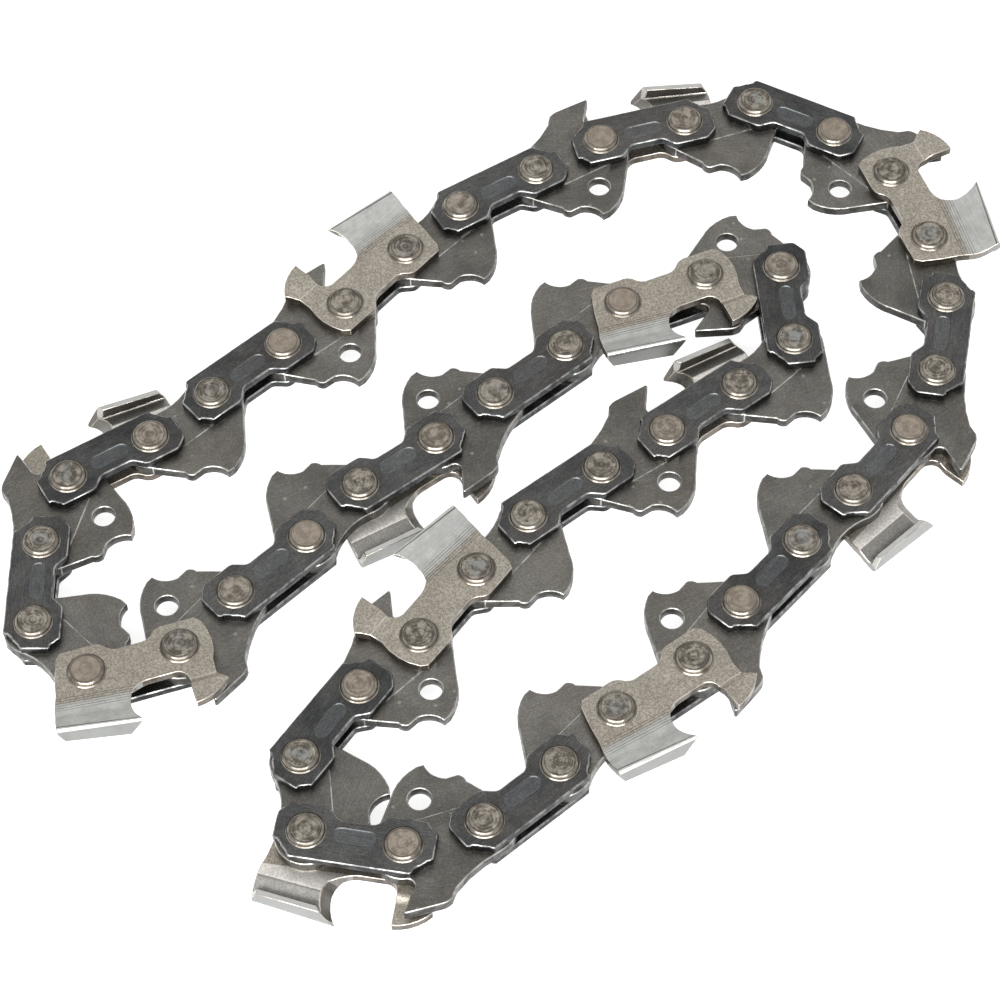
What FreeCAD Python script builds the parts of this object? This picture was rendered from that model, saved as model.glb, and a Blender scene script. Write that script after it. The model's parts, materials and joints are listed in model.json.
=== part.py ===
"""Saw chain loop, 3/8 inch low profile, 48 rivets, lying on its side.

The chain is built as the real one is: drive links in the middle plane turn on
the hubs of rivets, and each pair of rivets is clenched through two side plates.
A side plate is a plain tie strap or a cutter with a depth gauge and a tooth.
Every link is drawn once in its own frame, +X along the travel, +Y to the
cutting side, +Z across the chain with the middle plane at zero, and is then
placed on the lay of the loop.

Units are millimetres. The loop lies on its side on z = 0, and the origin is at
the middle of its outline, on the surface that it rests on.
"""

import FreeCAD
import Part

import math
import os

from FreeCAD import Placement, Rotation, Vector

# Pitches between the rivets, along the travel
strap_pitch = 10.03
drive_pitch = 8.61

# Thicknesses across the chain
gauge = 1.27
drive_body_relief = 0.08
plate_thickness = 1.05
side_clearance = 0.04

# Rivets
hub_radius = 2.30
shank_radius = 1.75
head_radius = 2.12
head_height = 0.55
head_draft = 0.16
pivot_clearance = 0.05
open_pivot_clearance = 0.25
rivet_fit = 0.01

# Drive link
eye_wall = 1.00
valley_depth = 0.95
tang_depth = 8.75
tang_tip_width = 0.85
tang_tip_offset = 0.50
tang_shoulder_depth = 2.75
scoop_depth = 6.52
scoop_length = 1.70
scoop_step = 1.28
scoop_corner = 0.55
scoop_bow_back = 0.48
scoop_bow_depth = 7.42
belly_reach = 2.26
belly_depth = 7.87
lead_depth = 6.10
lead_reach = 3.90
valley_half = 2.60
trail_eye_angle = 216.0
lead_eye_angle = -38.0
tang_hole_radius = 1.22
tang_hole_reach = 1.10
tang_hole_depth = 5.05

# Bumper on every second drive link
bumper_height = 7.05
bumper_reach = 6.30
bumper_crest = 2.30
bumper_crest_drop = 0.30
bumper_brow = 1.05
bumper_nose = 0.18
bumper_hook_depth = 2.65
bumper_hook_back = 1.75
bumper_hook_bow = 0.60
bumper_flank_run = 5.40
bumper_flank_rise = 2.50
bumper_sway_run = 3.00
bumper_sway_rise = 1.05
bumper_rise_angle = 100.0
bumper_seat_angle = 76.0

# Tie strap
strap_overhang = 3.29
strap_top = 3.15
strap_foot = 3.00
strap_waist = 1.75
strap_waist_half = 1.85
strap_waist_run = 1.30
strap_top_chamfer = 2.10
strap_foot_chamfer = 1.30

# Cutter side plate
cutter_overhang = 3.44
cutter_eye_swell = 0.45
cutter_chin_back = 0.55
cutter_chin_depth = 2.40
cutter_toe_back = 1.15
cutter_heel_back = 0.60
cutter_heel_depth = 2.30
cutter_tail_reach = 0.35
cutter_tail_height = 2.00
cutter_tail_bow = 0.22
gullet_floor = 2.95
gullet_start = 3.95
gullet_end = 0.35
gullet_radius = 1.15

# Depth gauge
gauge_rear = 5.05
gauge_height = 7.55
gauge_nub_reach = 9.00
gauge_nub_height = 5.50
gauge_brow_reach = 7.25
gauge_brow_height = 6.95
gauge_neck_reach = 8.00
gauge_neck_height = 2.60
gauge_bend_start = 4.20
gauge_bend_end = 5.30
gauge_set = 0.50
gauge_lean = 0.06

# Tooth
tooth_bend = 3.40
tooth_flare = 0.27
tooth_front = 1.05
tooth_front_height = 8.15
tooth_hook = 0.40
tooth_rear = 9.60
tooth_rear_height = 6.80
top_plate_width = 4.45
top_plate_fall = 0.85
top_plate_thickness = 0.85
top_plate_front_slant = 0.80
top_plate_rear_slant = 1.25
cutting_bevel = 0.55
tooth_corner_radius = 0.40

# Lay of the loop: the direction of each link in degrees from +X, from rivet to
# rivet and clockwise. Straps and drive links alternate, and a strap is first.
lay = (
    # far strand, away from the viewer and to the right
    28, 39, 38, 36, 46, 42, 28, 27, 12, 15,
    # round the right end
    -30, -47, -71, -84, -103, -117, -133, -135,
    # outer strand down to the near end
    -135, -130, -147, -136, -143, -165,
    # round the near end
    -193, -267, -308, -318,
    # inner strand back to the fold
    -309, -312, -325, -329, -326, -319,
    # the fold, where the loop bends backwards
    -267, -177,
    # inner strand to the left end
    -161, -141, -144, -141, -147, -133, -140, -133, -166,
    # round the left end
    -228, -273, -288,
)

# The cutters alternate between the sides, with a tie strap pair between them
CUTTER_CYCLE = ("left", None, "right", None)
OPEN_RIVET_LINK = 11

ACROSS = Vector(0, 0, 1)
drive_thickness = gauge + 2 * drive_body_relief
plate_inner = drive_thickness / 2 + side_clearance
plate_outer = plate_inner + plate_thickness
eye_radius = hub_radius + pivot_clearance + eye_wall
drive_half = drive_pitch / 2
strap_half = strap_pitch / 2


def at(x, y, z=0.0):
    """A point in a link's own frame."""
    return Vector(x, y, z)


def around(centre_x, radius, degrees):
    """A point on a circle round a rivet that lies on the pitch line."""
    angle = math.radians(degrees)
    return Vector(centre_x + radius * math.cos(angle), radius * math.sin(angle), 0)


def line(start, end):
    """A straight edge of an outline."""
    return Part.makeLine(start, end)


def arc(start, middle, end):
    """A round edge of an outline through three points."""
    return Part.Arc(start, middle, end).toShape()


def polyline(points):
    """Straight edges through points, left open."""
    return [line(a, b) for a, b in zip(points, points[1:])]


def plate(edges, bottom, top):
    """A flat plate from a closed outline, between two levels across the chain."""
    face = Part.Face(Part.Wire(edges))
    face.translate(ACROSS * bottom)
    return face.extrude(ACROSS * (top - bottom))


def bore(x, y, radius):
    """A round cut right through the chain."""
    depth = 4 * plate_outer
    return Part.makeCylinder(radius, depth, at(x, y, -depth / 2))


def tang_outline(shoulder):
    """The hooked tang from the trailing eye to the leading eye, as edges.

    shoulder is the pair of points where the tang leaves the two eyes.
    """
    trail, lead = shoulder
    tip_back = at(-tang_tip_offset, -tang_depth)
    tip_front = at(tang_tip_width - tang_tip_offset, -tang_depth)
    scoop_end = at(-tang_tip_offset - scoop_length, -scoop_depth)
    step_end = scoop_end - at(scoop_step, 0)
    slope = (step_end - trail).normalize()
    step_start = step_end + at(-scoop_corner / 2, scoop_corner) - slope * scoop_corner
    belly = at(belly_reach, -belly_depth)
    hook = at(-tang_tip_offset - scoop_bow_back, -scoop_bow_depth)
    return [
        line(trail, step_start),
        arc(step_start, step_end + at(-scoop_corner * 0.40, scoop_corner * 0.25), step_end),
        line(step_end, scoop_end),
        arc(scoop_end, hook, tip_back),
        line(tip_back, tip_front),
        arc(tip_front, belly, at(lead_reach, -lead_depth)),
        line(at(lead_reach, -lead_depth), lead),
    ]


def drive_outline(bumper):
    """Outline of a drive link, with a bumper or with a plain valley on top."""
    trail = around(-drive_half, eye_radius, trail_eye_angle)
    lead = around(drive_half, eye_radius, lead_eye_angle)
    edges = tang_outline((trail, lead))
    if bumper:
        seat = around(drive_half, eye_radius, bumper_seat_angle)
        rise = around(-drive_half, eye_radius, bumper_rise_angle)
        crest = at(bumper_crest, bumper_height)
        brow = crest - at(bumper_brow, bumper_crest_drop)
        tip = at(bumper_reach, bumper_height - bumper_nose)
        nose = tip - at(bumper_nose / 2, 2 * bumper_nose)
        notch = at(bumper_reach - bumper_hook_back, bumper_height - bumper_hook_depth)
        sway = at(rise.x + bumper_sway_run, rise.y + bumper_sway_rise)
        flank = at(rise.x + bumper_flank_run, rise.y + bumper_flank_rise)
        edges += [
            arc(lead, around(drive_half, eye_radius, 20), seat),
            arc(seat, notch - at(bumper_hook_bow / 5, bumper_hook_bow), notch),
            line(notch, nose),
            arc(nose, tip - at(0, bumper_nose), tip - at(bumper_nose, 0)),
            line(tip - at(bumper_nose, 0), crest),
            arc(crest, crest - at(bumper_brow * 0.57, bumper_crest_drop * 0.32), brow),
            line(brow, flank),
            arc(flank, sway, rise),
            arc(rise, around(-drive_half, eye_radius, 160), trail),
        ]
    else:
        spread = valley_half
        top = math.sqrt(eye_radius**2 - (drive_half - valley_half) ** 2)
        edges += [
            arc(lead, around(drive_half, eye_radius, 40), at(spread, top)),
            arc(at(spread, top), at(0, eye_radius - valley_depth), at(-spread, top)),
            arc(at(-spread, top), around(-drive_half, eye_radius, 160), trail),
        ]
    return edges


def drive_link(bumper, open_eye=False):
    """A drive link: two eyes on rivet hubs and a tang for the bar groove.

    open_eye widens the bore of the leading eye, where the loop's linkage is
    opened, and leaves the outline as it is.
    """
    body = plate(drive_outline(bumper), -drive_thickness / 2, drive_thickness / 2)
    reach = drive_pitch + 2 * eye_radius
    for side in (-1, 1):
        inner = side * gauge / 2
        outer = side * drive_thickness
        relief = Part.makeBox(
            2 * reach,
            2 * tang_depth,
            abs(outer - inner),
            at(-reach, -2 * tang_depth - tang_shoulder_depth, min(inner, outer)),
        )
        body = body.cut(relief)
    lead_clearance = open_pivot_clearance if open_eye else pivot_clearance
    cuts = [
        bore(-drive_half, 0, hub_radius + pivot_clearance),
        bore(drive_half, 0, hub_radius + lead_clearance),
    ]
    if bumper:
        cuts.append(bore(tang_hole_reach, -tang_hole_depth, tang_hole_radius))
    return body.cut(cuts)


def strap_outline():
    """Outline of a tie strap: chamfered ends and two feet beside a waist."""
    end = strap_half + strap_overhang
    foot_in = strap_waist_half + strap_waist_run
    right = [
        at(strap_waist_half, -strap_waist),
        at(foot_in, -strap_foot),
        at(end - strap_foot_chamfer, -strap_foot),
        at(end, -strap_foot + strap_foot_chamfer * 0.9),
        at(end, strap_top - strap_top_chamfer),
        at(end - strap_top_chamfer, strap_top),
    ]
    left = [at(-p.x, p.y) for p in reversed(right)]
    points = right + left
    return polyline(points + points[:1])


def tie_strap(side):
    """A tie strap on one side of the chain, side being +1 or -1."""
    levels = sorted((side * plate_inner, side * plate_outer))
    return plate(strap_outline(), *levels)


def rivet_end(x, side):
    """The shank and the clenched head of a rivet on one side of the chain."""
    profile = [
        at(0, 0, 0),
        at(shank_radius, 0, 0),
        at(shank_radius, 0, plate_outer),
        at(head_radius, 0, plate_outer),
        at(head_radius - head_draft, 0, plate_outer + head_height),
        at(0, 0, plate_outer + head_height),
    ]
    face = Part.Face(Part.Wire(polyline(profile + profile[:1])))
    end = face.revolve(Vector(0, 0, 0), ACROSS, 360)
    if side < 0:
        end = end.mirror(Vector(0, 0, 0), ACROSS)
    end.translate(at(x, 0))
    return end


def rivet_hub(x):
    """The thick middle of a rivet, which the drive link turns on."""
    return Part.makeCylinder(hub_radius, 2 * plate_inner, at(x, 0, -plate_inner))


def rivet(x):
    """A whole rivet: hub, two shanks and two heads."""
    return rivet_hub(x).fuse([rivet_end(x, 1), rivet_end(x, -1)])


def riveted(plates):
    """Side plates with both rivets clenched into them, as one solid."""
    joined = plates[0].fuse(plates[1:] + [rivet(-strap_half), rivet(strap_half)])
    return joined.removeSplitter()


def cutter_outline():
    """Outline of a cutter side plate, seen from its own side."""
    front = strap_half + cutter_overhang
    foot_in = strap_waist_half + strap_waist_run
    nub = at(-gauge_nub_reach, gauge_nub_height)
    gauge_tip = at(-gauge_rear, gauge_height)
    gauge_foot = at(-gauge_rear, gullet_floor + gullet_radius * 1.35)
    floor_start = at(-gullet_start, gullet_floor)
    floor_end = at(gullet_end - gullet_radius, gullet_floor)
    hook_foot = at(gullet_end + gullet_radius * 0.30, gullet_floor + gullet_radius * 0.48)
    tooth_tip = at(tooth_front, tooth_front_height)
    hook_depth = at(tooth_front + tooth_hook, (gullet_floor + tooth_front_height) / 2)
    heel = at(tooth_rear, tooth_rear_height)
    neck = at(-gauge_neck_reach, gauge_neck_height)
    collar = at(-gauge_neck_reach, gauge_bend_start)
    swell = at(-front, cutter_eye_swell)
    chin = at(-front + cutter_chin_back, -cutter_chin_depth)
    toe = at(-front + cutter_toe_back, -strap_foot)
    sole = at(front - cutter_toe_back, -strap_foot)
    stern = at(front - cutter_heel_back, -cutter_heel_depth)
    flat = at(front, 0)
    tail = at(front + cutter_tail_reach, cutter_tail_height)
    bow = (tail + heel) * 0.5 + at(cutter_tail_bow, 0)
    return [
        line(chin, toe),
        line(toe, at(-foot_in, -strap_foot)),
        line(at(-foot_in, -strap_foot), at(-strap_waist_half, -strap_waist)),
        line(at(-strap_waist_half, -strap_waist), at(strap_waist_half, -strap_waist)),
        line(at(strap_waist_half, -strap_waist), at(foot_in, -strap_foot)),
        line(at(foot_in, -strap_foot), sole),
        line(sole, stern),
        line(stern, flat),
        line(flat, tail),
        arc(tail, bow, heel),
        line(heel, tooth_tip),
        arc(tooth_tip, hook_depth, hook_foot),
        arc(hook_foot, floor_end + at(gullet_radius * 0.5, gullet_radius * 0.09), floor_end),
        line(floor_end, floor_start),
        arc(floor_start, floor_start + at(-gullet_radius * 0.68, gullet_radius * 0.37), gauge_foot),
        line(gauge_foot, gauge_tip),
        arc(gauge_tip, at(-gauge_brow_reach, gauge_brow_height), nub),
        line(nub, collar),
        line(collar, neck),
        arc(neck, swell, chin),
    ]


def bent_slab(profile, start, end):
    """A plate bent along the travel: its outer face follows (y, rise) points."""
    outer = [at(start, y, plate_outer + rise) for y, rise in profile]
    inner = [at(start, y, plate_inner + rise) for y, rise in reversed(profile)]
    points = outer + inner
    face = Part.Face(Part.Wire(polyline(points + points[:1])))
    return face.extrude(at(end - start, 0))


def hexahedron(top, bottom):
    """A solid between two four-sided faces, given as matching corners."""
    shell = [Part.Face(Part.makePolygon(top + top[:1]))]
    shell.append(Part.Face(Part.makePolygon(bottom + bottom[:1])))
    for i in range(4):
        j = (i + 1) % 4
        for corners in ((top[i], top[j], bottom[j]), (top[i], bottom[j], bottom[i])):
            shell.append(Part.Face(Part.makePolygon(list(corners) + [corners[0]])))
    return Part.Solid(Part.Shell(shell))


def fold_corners():
    """The tip and the heel of the fold, on the outer face of the flared side plate."""
    return [
        at(x, y, plate_outer + tooth_flare * (y - tooth_bend))
        for x, y in ((tooth_front, tooth_front_height), (tooth_rear, tooth_rear_height))
    ]


def top_plate():
    """The cutting top of a tooth, and the stock above it that is trimmed away."""
    tip, heel = fold_corners()
    along = (heel - tip).normalize()
    across = at(0, -top_plate_fall, -top_plate_width)
    normal = along.cross(across).normalize()
    if normal.y > 0:
        normal = -normal
    inner_tip = tip + across + along * top_plate_front_slant
    inner_heel = heel + across - along * top_plate_rear_slant
    sink = normal * top_plate_thickness
    inset = across * (plate_thickness / top_plate_width / 2)
    bevel = along * cutting_bevel
    bottom = [tip + sink + inset + bevel, heel + sink + inset]
    bottom += [inner_heel + sink, inner_tip + sink + bevel]
    slab = hexahedron([tip, heel, inner_heel, inner_tip], bottom)
    margin = along * top_plate_width
    lid = [tip - margin - across, heel + margin - across]
    lid += [heel + margin + across * 2, tip - margin + across * 2]
    waste = Part.Face(Part.makePolygon(lid + lid[:1])).extrude(-normal * top_plate_width)
    return slab, waste


def fold_waste():
    """The stock outside the rounded fold between side plate and top plate."""
    tip, heel = fold_corners()
    along = (heel - tip).normalize()
    down = at(0, -1, -tooth_flare)
    down = (down - along * down.dot(along)).normalize()
    inward = at(0, -top_plate_fall, -top_plate_width)
    inward = (inward - along * inward.dot(along)).normalize()
    half = down.getAngle(inward) / 2
    middle = (down + inward).normalize()
    run = tooth_corner_radius / math.tan(half)
    depth = tooth_corner_radius / math.sin(half) - tooth_corner_radius
    start = tip - along * top_plate_width
    low, high = start + down * run, start + inward * run
    corner = start - middle * tooth_corner_radius
    edges = [line(low, corner), line(corner, high), arc(high, start + middle * depth, low)]
    length = (heel - tip).Length + 2 * top_plate_width
    return Part.Face(Part.Wire(edges)).extrude(along * length)


def cutter(side):
    """A cutter on one side: side plate, depth gauge and flared tooth."""
    reach = 2 * tooth_rear
    top = tooth_rear
    base = -tooth_rear
    split = -gullet_start / 2
    set_end = gauge_set + gauge_lean * (top - gauge_bend_end)
    gauge_bend = [(base, 0.0), (gauge_bend_start, 0.0), (gauge_bend_end, gauge_set)]
    gauge_bend.append((top, set_end))
    tooth_rise = tooth_flare * (top - tooth_bend)
    tooth_profile = [(base, 0.0), (tooth_bend, 0.0), (top, tooth_rise)]
    blank = bent_slab(gauge_bend, -reach, split).fuse(bent_slab(tooth_profile, split, reach))
    form = plate(cutter_outline(), 0.0, 3 * plate_outer)
    slab, waste = top_plate()
    body = blank.common(form).fuse(slab).cut([waste, fold_waste()]).removeSplitter()
    fit = shank_radius + rivet_fit
    body = body.cut([bore(-strap_half, 0, fit), bore(strap_half, 0, fit)])
    if side < 0:
        body = body.mirror(Vector(0, 0, 0), ACROSS)
    return body


def link_lengths():
    """The length of each link of the lay, strap and drive link in turn."""
    return [strap_pitch if i % 2 == 0 else drive_pitch for i in range(len(lay))]


def closed_lay(lengths):
    """The directions of the links, turned as little as it takes to close.

    Each step shares the gap that is left between all links by least squares.
    """
    angles = [math.radians(a) for a in lay]
    for _ in range(12):
        gap_x = sum(r * math.cos(a) for r, a in zip(lengths, angles))
        gap_y = sum(r * math.sin(a) for r, a in zip(lengths, angles))
        slopes = [(-r * math.sin(a), r * math.cos(a)) for r, a in zip(lengths, angles)]
        xx = sum(sx * sx for sx, _ in slopes)
        xy = sum(sx * sy for sx, sy in slopes)
        yy = sum(sy * sy for _, sy in slopes)
        det = xx * yy - xy * xy
        push_x = (yy * gap_x - xy * gap_y) / det
        push_y = (xx * gap_y - xy * gap_x) / det
        angles = [a - sx * push_x - sy * push_y for a, (sx, sy) in zip(angles, slopes)]
    return angles


def link_placements():
    """The place of each link: its middle on the lay, turned along it."""
    lengths = link_lengths()
    corner = Vector(0, 0, 0)
    places = []
    for length, angle in zip(lengths, closed_lay(lengths)):
        ahead = Vector(length * math.cos(angle), length * math.sin(angle), 0)
        turn = Rotation(ACROSS, math.degrees(angle))
        places.append(Placement(corner + ahead * 0.5, turn))
        corner = corner + ahead
    return places


def build_nodes():
    """All nodes of the loop by name, in the frame of the lay."""
    straps = riveted([tie_strap(1), tie_strap(-1)])
    shapes = {"left": cutter(-1), "right": cutter(1)}
    backs = {"left": riveted([tie_strap(1)]), "right": riveted([tie_strap(-1)])}
    plain_link = drive_link(False)
    bumper_link = drive_link(True)
    nodes = {}
    count = {"left": 0, "right": 0, "strap": 0}
    for i, place in enumerate(link_placements()):
        number = i // 2 + 1
        if i % 2 == 1:
            link = bumper_link if number % 2 == 0 else plain_link
            if number == OPEN_RIVET_LINK:
                link = drive_link(number % 2 == 0, open_eye=True)
            nodes[f"drive_link_{number:02d}"] = placed(link, place)
            continue
        hand = CUTTER_CYCLE[(number - 1) % len(CUTTER_CYCLE)]
        if hand is None:
            count["strap"] += 1
            nodes[f"tie_strap_pair_{count['strap']:02d}"] = placed(straps, place)
            continue
        count[hand] += 1
        name = f"{hand}_cutter_{count[hand]}"
        nodes[name] = placed(shapes[hand], place)
        nodes[f"{name}_rivets_and_strap"] = placed(backs[hand], place)
    return nodes


def placed(shape, place):
    """A copy of a link at its place on the lay."""
    copy = shape.copy()
    copy.Placement = place.multiply(copy.Placement)
    return copy


def rest_offset(shapes):
    """The move that rests the loop on z = 0 with the origin at its middle."""
    box = FreeCAD.BoundBox()
    for shape in shapes:
        box.add(shape.optimalBoundingBox(True, False))
    return Vector(-(box.XMin + box.XMax) / 2, -(box.YMin + box.YMax) / 2, -box.ZMin)


def main():
    """Write one STEP file per node into parts/."""
    os.makedirs("parts", exist_ok=True)
    nodes = build_nodes()
    offset = rest_offset(nodes.values())
    for name, shape in nodes.items():
        shape.translate(offset)
        shape.exportStep(os.path.join("parts", name + ".step"))


main()
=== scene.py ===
"""The looks of the saw chain loop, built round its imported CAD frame.

Every link is modelled once in its own frame, in millimetres: +X from the depth
gauge of a cutter to its heel, +Y to the cutting side and +Z across the chain,
with the middle plane at zero. It is then copied to its place on the lay and
rides on the body of its CAD node.
"""

import json
import logging
import math
from collections.abc import Iterable
from dataclasses import dataclass, field
from enum import Enum, IntEnum
from typing import ClassVar

import bmesh
import bpy
from bmesh.types import BMEdge, BMesh, BMFace, BMVert
from mathutils import Matrix, Vector


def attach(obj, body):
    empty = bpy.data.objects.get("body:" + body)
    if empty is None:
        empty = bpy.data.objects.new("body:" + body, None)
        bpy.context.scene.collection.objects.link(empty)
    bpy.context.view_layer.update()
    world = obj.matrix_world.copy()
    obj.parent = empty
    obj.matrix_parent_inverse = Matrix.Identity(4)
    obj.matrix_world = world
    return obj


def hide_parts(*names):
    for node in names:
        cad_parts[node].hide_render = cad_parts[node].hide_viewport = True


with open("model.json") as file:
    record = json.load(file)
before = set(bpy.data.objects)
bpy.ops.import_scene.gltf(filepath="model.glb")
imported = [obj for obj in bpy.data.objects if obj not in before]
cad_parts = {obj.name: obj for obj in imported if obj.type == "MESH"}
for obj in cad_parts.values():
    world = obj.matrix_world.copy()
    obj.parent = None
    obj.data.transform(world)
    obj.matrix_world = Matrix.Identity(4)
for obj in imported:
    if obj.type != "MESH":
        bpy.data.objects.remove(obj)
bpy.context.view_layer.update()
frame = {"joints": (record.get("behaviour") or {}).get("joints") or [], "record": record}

log = logging.getLogger("saw_chain")

# Short names for what the hints below say often
Point = tuple[float, float]
Span = tuple[float, float]
Colour = tuple[float, float, float]
Socket = bpy.types.NodeSocket
Sockets = dict[str, bpy.types.NodeSocket]
Value = bpy.types.NodeSocket | float | tuple

MM = 0.001
LINKS = 48
STRAP_PITCH = 10.03
DRIVE_PITCH = 8.61
OPEN_RIVET = 23
OPEN_LINK = "drive_link_11"

# How far the faces of a side plate lie from the middle plane
PLATE_INNER = 0.755
PLATE_OUTER = 1.805

UV_NAME = "lay"
UV_UNIT = 10.0
UV_MIDDLE = 0.5
TINT_NAME = "tint"
TINT_STEP = 0.618
REAR_RIVET_TINT = 0.74

# The sockets of a Mix node that mixes colours
MIX_FIRST, MIX_SECOND, MIX_RESULT = 6, 7, 2

# How much of a level face's unit normal lies across the chain, at least
LEVEL_LEAN = 0.9

# How far apart two points may be and count as one
OUTLINE_WELD = 0.004
FOLD_WELD = 0.003
WELD = 0.0001
TOUCH = 0.01

# Each step of a rounded rim, inwards and outwards, in shares of its radius
RIM_STEPS = ((0.12, 0.3), (0.58, 0.58), (0.3, 0.12))

# A step of an edge: its share of the edge, and how deep it is there
TICKS = ((0.14, 0.0), (0.2, 1.0), (0.42, 1.0), (0.47, 0.55), (0.8, 0.55), (0.86, 0.0))


class Side(Enum):
    """The side of the chain that a plate is on."""

    UPPER = 1
    LOWER = -1


class Hand(Enum):
    """What a side plate link is: a cutter of either hand, or a plain pair."""

    LEFT = "left_cutter"
    RIGHT = "right_cutter"
    PLAIN = "tie_strap_pair"


class Slot(IntEnum):
    """The finish of a face, by the place of its material on the mesh.

    A strap has the first four, with its pressed recess in the place where a
    cutter has its inside.
    """

    SKIN = 0
    # On the plates: partly real rubbed wear and partly painted highlight
    RIM = 1
    # On the plates: painted shade; on a rivet: its hub
    WALL = 2
    INSIDE = 3
    TOP = 4
    # The fold's painted highlight
    FOLD = 5
    # The fold's painted shade beside the flare
    PAINTED_SHADE = 6
    # Painted light inside the tooth below the bend
    ROOT = 7
    # Painted shade inside the flare
    FLARE = 8
    GROUND = 9
    UNDER = 10
    FREE = 11


RECESS = Slot.INSIDE
CYCLE = (Hand.LEFT, Hand.PLAIN, Hand.RIGHT, Hand.PLAIN)


# Drawing with bmesh


@dataclass(frozen=True)
class Stroke:
    """One stretch of an outline: straight to its end, or round through a point."""

    end: Point
    via: Point | None = None


def ticked(start: Point, end: Point, depth: float) -> tuple[Stroke, ...]:
    """A straight edge that is stepped in along its middle, as a stop leaves it.

    Args:
        start: Where the edge starts.
        end: Where the edge ends.
        depth: How far the middle lies inside.

    Returns:
        The strokes up to the end.
    """
    a, b = Vector(start), Vector(end)
    side = Vector((a.y - b.y, b.x - a.x)).normalized() * depth
    points = [a.lerp(b, share) + side * sunk for share, sunk in TICKS]
    return tuple(Stroke((point.x, point.y)) for point in points) + (Stroke(end),)


def in_turn(elements: Iterable) -> list:
    """Each element of a mesh once, in the order that it first comes in."""
    return list(dict.fromkeys(elements))


def circle_centre(a: Vector, b: Vector, c: Vector) -> Vector:
    """The centre of the circle through three points of a plane.

    Args:
        a: The first point.
        b: The second point.
        c: The third point.

    Returns:
        The centre, at z = 0.
    """
    ab, ac = b - a, c - a
    turn = 2 * (ab.x * ac.y - ab.y * ac.x)
    x = (ac.y * ab.length_squared - ab.y * ac.length_squared) / turn
    y = (ab.x * ac.length_squared - ac.x * ab.length_squared) / turn
    return a + Vector((x, y, 0))


def spin_arc(bm: BMesh, tip: BMVert, stroke: Stroke, step: float) -> BMVert:
    """Draws one round stretch from the tip of an outline.

    Args:
        bm: The mesh that holds the outline.
        tip: The vertex that the stretch starts from.
        stroke: The stretch, with its middle point.
        step: The largest angle of one edge, in degrees.

    Returns:
        The vertex at the end of the stretch.
    """
    start = tip.co.copy()
    via, end = Vector((*stroke.via, 0)), Vector((*stroke.end, 0))
    centre = circle_centre(start, via, end)
    first = math.atan2(start.y - centre.y, start.x - centre.x)
    last = math.atan2(end.y - centre.y, end.x - centre.x)
    middle = math.atan2(via.y - centre.y, via.x - centre.x)
    sweep = (last - first) % math.tau
    if (middle - first) % math.tau > sweep:
        sweep -= math.tau
    steps = max(3, math.ceil(abs(math.degrees(sweep)) / step))
    made = bmesh.ops.spin(
        bm, geom=[tip], cent=centre, axis=(0, 0, 1), angle=sweep, steps=steps, use_duplicate=False
    )
    return next(v for v in made["geom_last"] if isinstance(v, BMVert))


def trace(bm: BMesh, strokes: tuple[Stroke, ...], step: float = 10.0) -> list[BMEdge]:
    """Draws a closed outline that starts where its last stroke ends.

    Args:
        bm: The mesh to draw in.
        strokes: The stretches of the outline in turn.
        step: The largest angle of one edge of a round stretch, in degrees.

    Returns:
        The edges of the outline.
    """
    before = set(bm.verts)
    tip = bm.verts.new((*strokes[-1].end, 0))
    for stroke in strokes:
        if stroke.via is None:
            made = bmesh.ops.extrude_vert_indiv(bm, verts=[tip])
            tip = made["verts"][0]
            tip.co = (*stroke.end, 0)
        else:
            tip = spin_arc(bm, tip, stroke, step)
    verts = [v for v in bm.verts if v not in before]
    bmesh.ops.remove_doubles(bm, verts=verts, dist=OUTLINE_WELD)
    verts = [v for v in bm.verts if v not in before]
    return in_turn(e for v in verts for e in v.link_edges)


def ring(bm: BMesh, x: float, y: float, radius: float, segments: int) -> list[BMEdge]:
    """Draws a circle of edges, such as the rim of a bore.

    Args:
        bm: The mesh to draw in.
        x: The middle along the travel.
        y: The middle towards the cutting side.
        radius: The radius of the circle.
        segments: The number of its edges.

    Returns:
        The edges of the circle.
    """
    place = Matrix.Translation((x, y, 0))
    made = bmesh.ops.create_circle(
        bm, cap_ends=False, segments=segments, radius=radius, matrix=place
    )
    return in_turn(e for v in made["verts"] for e in v.link_edges)


def capsule(bm: BMesh, half: float, radius: float, steps: int) -> list[BMEdge]:
    """Draws a slot with round ends along the travel, round the origin.

    Args:
        bm: The mesh to draw in.
        half: Half the length between the middles of the ends.
        radius: The radius of the ends.
        steps: The number of edges of each end.

    Returns:
        The edges of the slot.
    """
    strokes = (
        Stroke((half, radius)),
        Stroke((half, -radius), via=(half + radius, 0)),
        Stroke((-half, -radius)),
        Stroke((-half, radius), via=(-half - radius, 0)),
    )
    return trace(bm, strokes, 180 / steps)


def eased(share: float) -> float:
    """Eases a share from 0 to 1 in and out, and holds it beyond."""
    share = min(1.0, max(0.0, share))
    return share * share * (3 - 2 * share)


def is_level(face: BMFace) -> bool:
    """Whether a face lies in the plane of the link."""
    return abs(face.normal.z) > LEVEL_LEAN


def raise_sheet(bm: BMesh, low: float, high: float) -> None:
    """Turns a flat sheet of faces into a plate with sharp rims.

    Args:
        bm: The mesh, which holds the flat sheet alone.
        low: The level of the lower face.
        high: The level of the upper face.
    """
    bmesh.ops.translate(bm, verts=bm.verts[:], vec=(0, 0, low))
    made = bmesh.ops.extrude_face_region(bm, geom=bm.faces[:])
    lifted = [g for g in made["geom"] if isinstance(g, BMVert)]
    bmesh.ops.translate(bm, verts=lifted, vec=(0, 0, high - low))
    bmesh.ops.recalc_face_normals(bm, faces=bm.faces[:])


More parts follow.
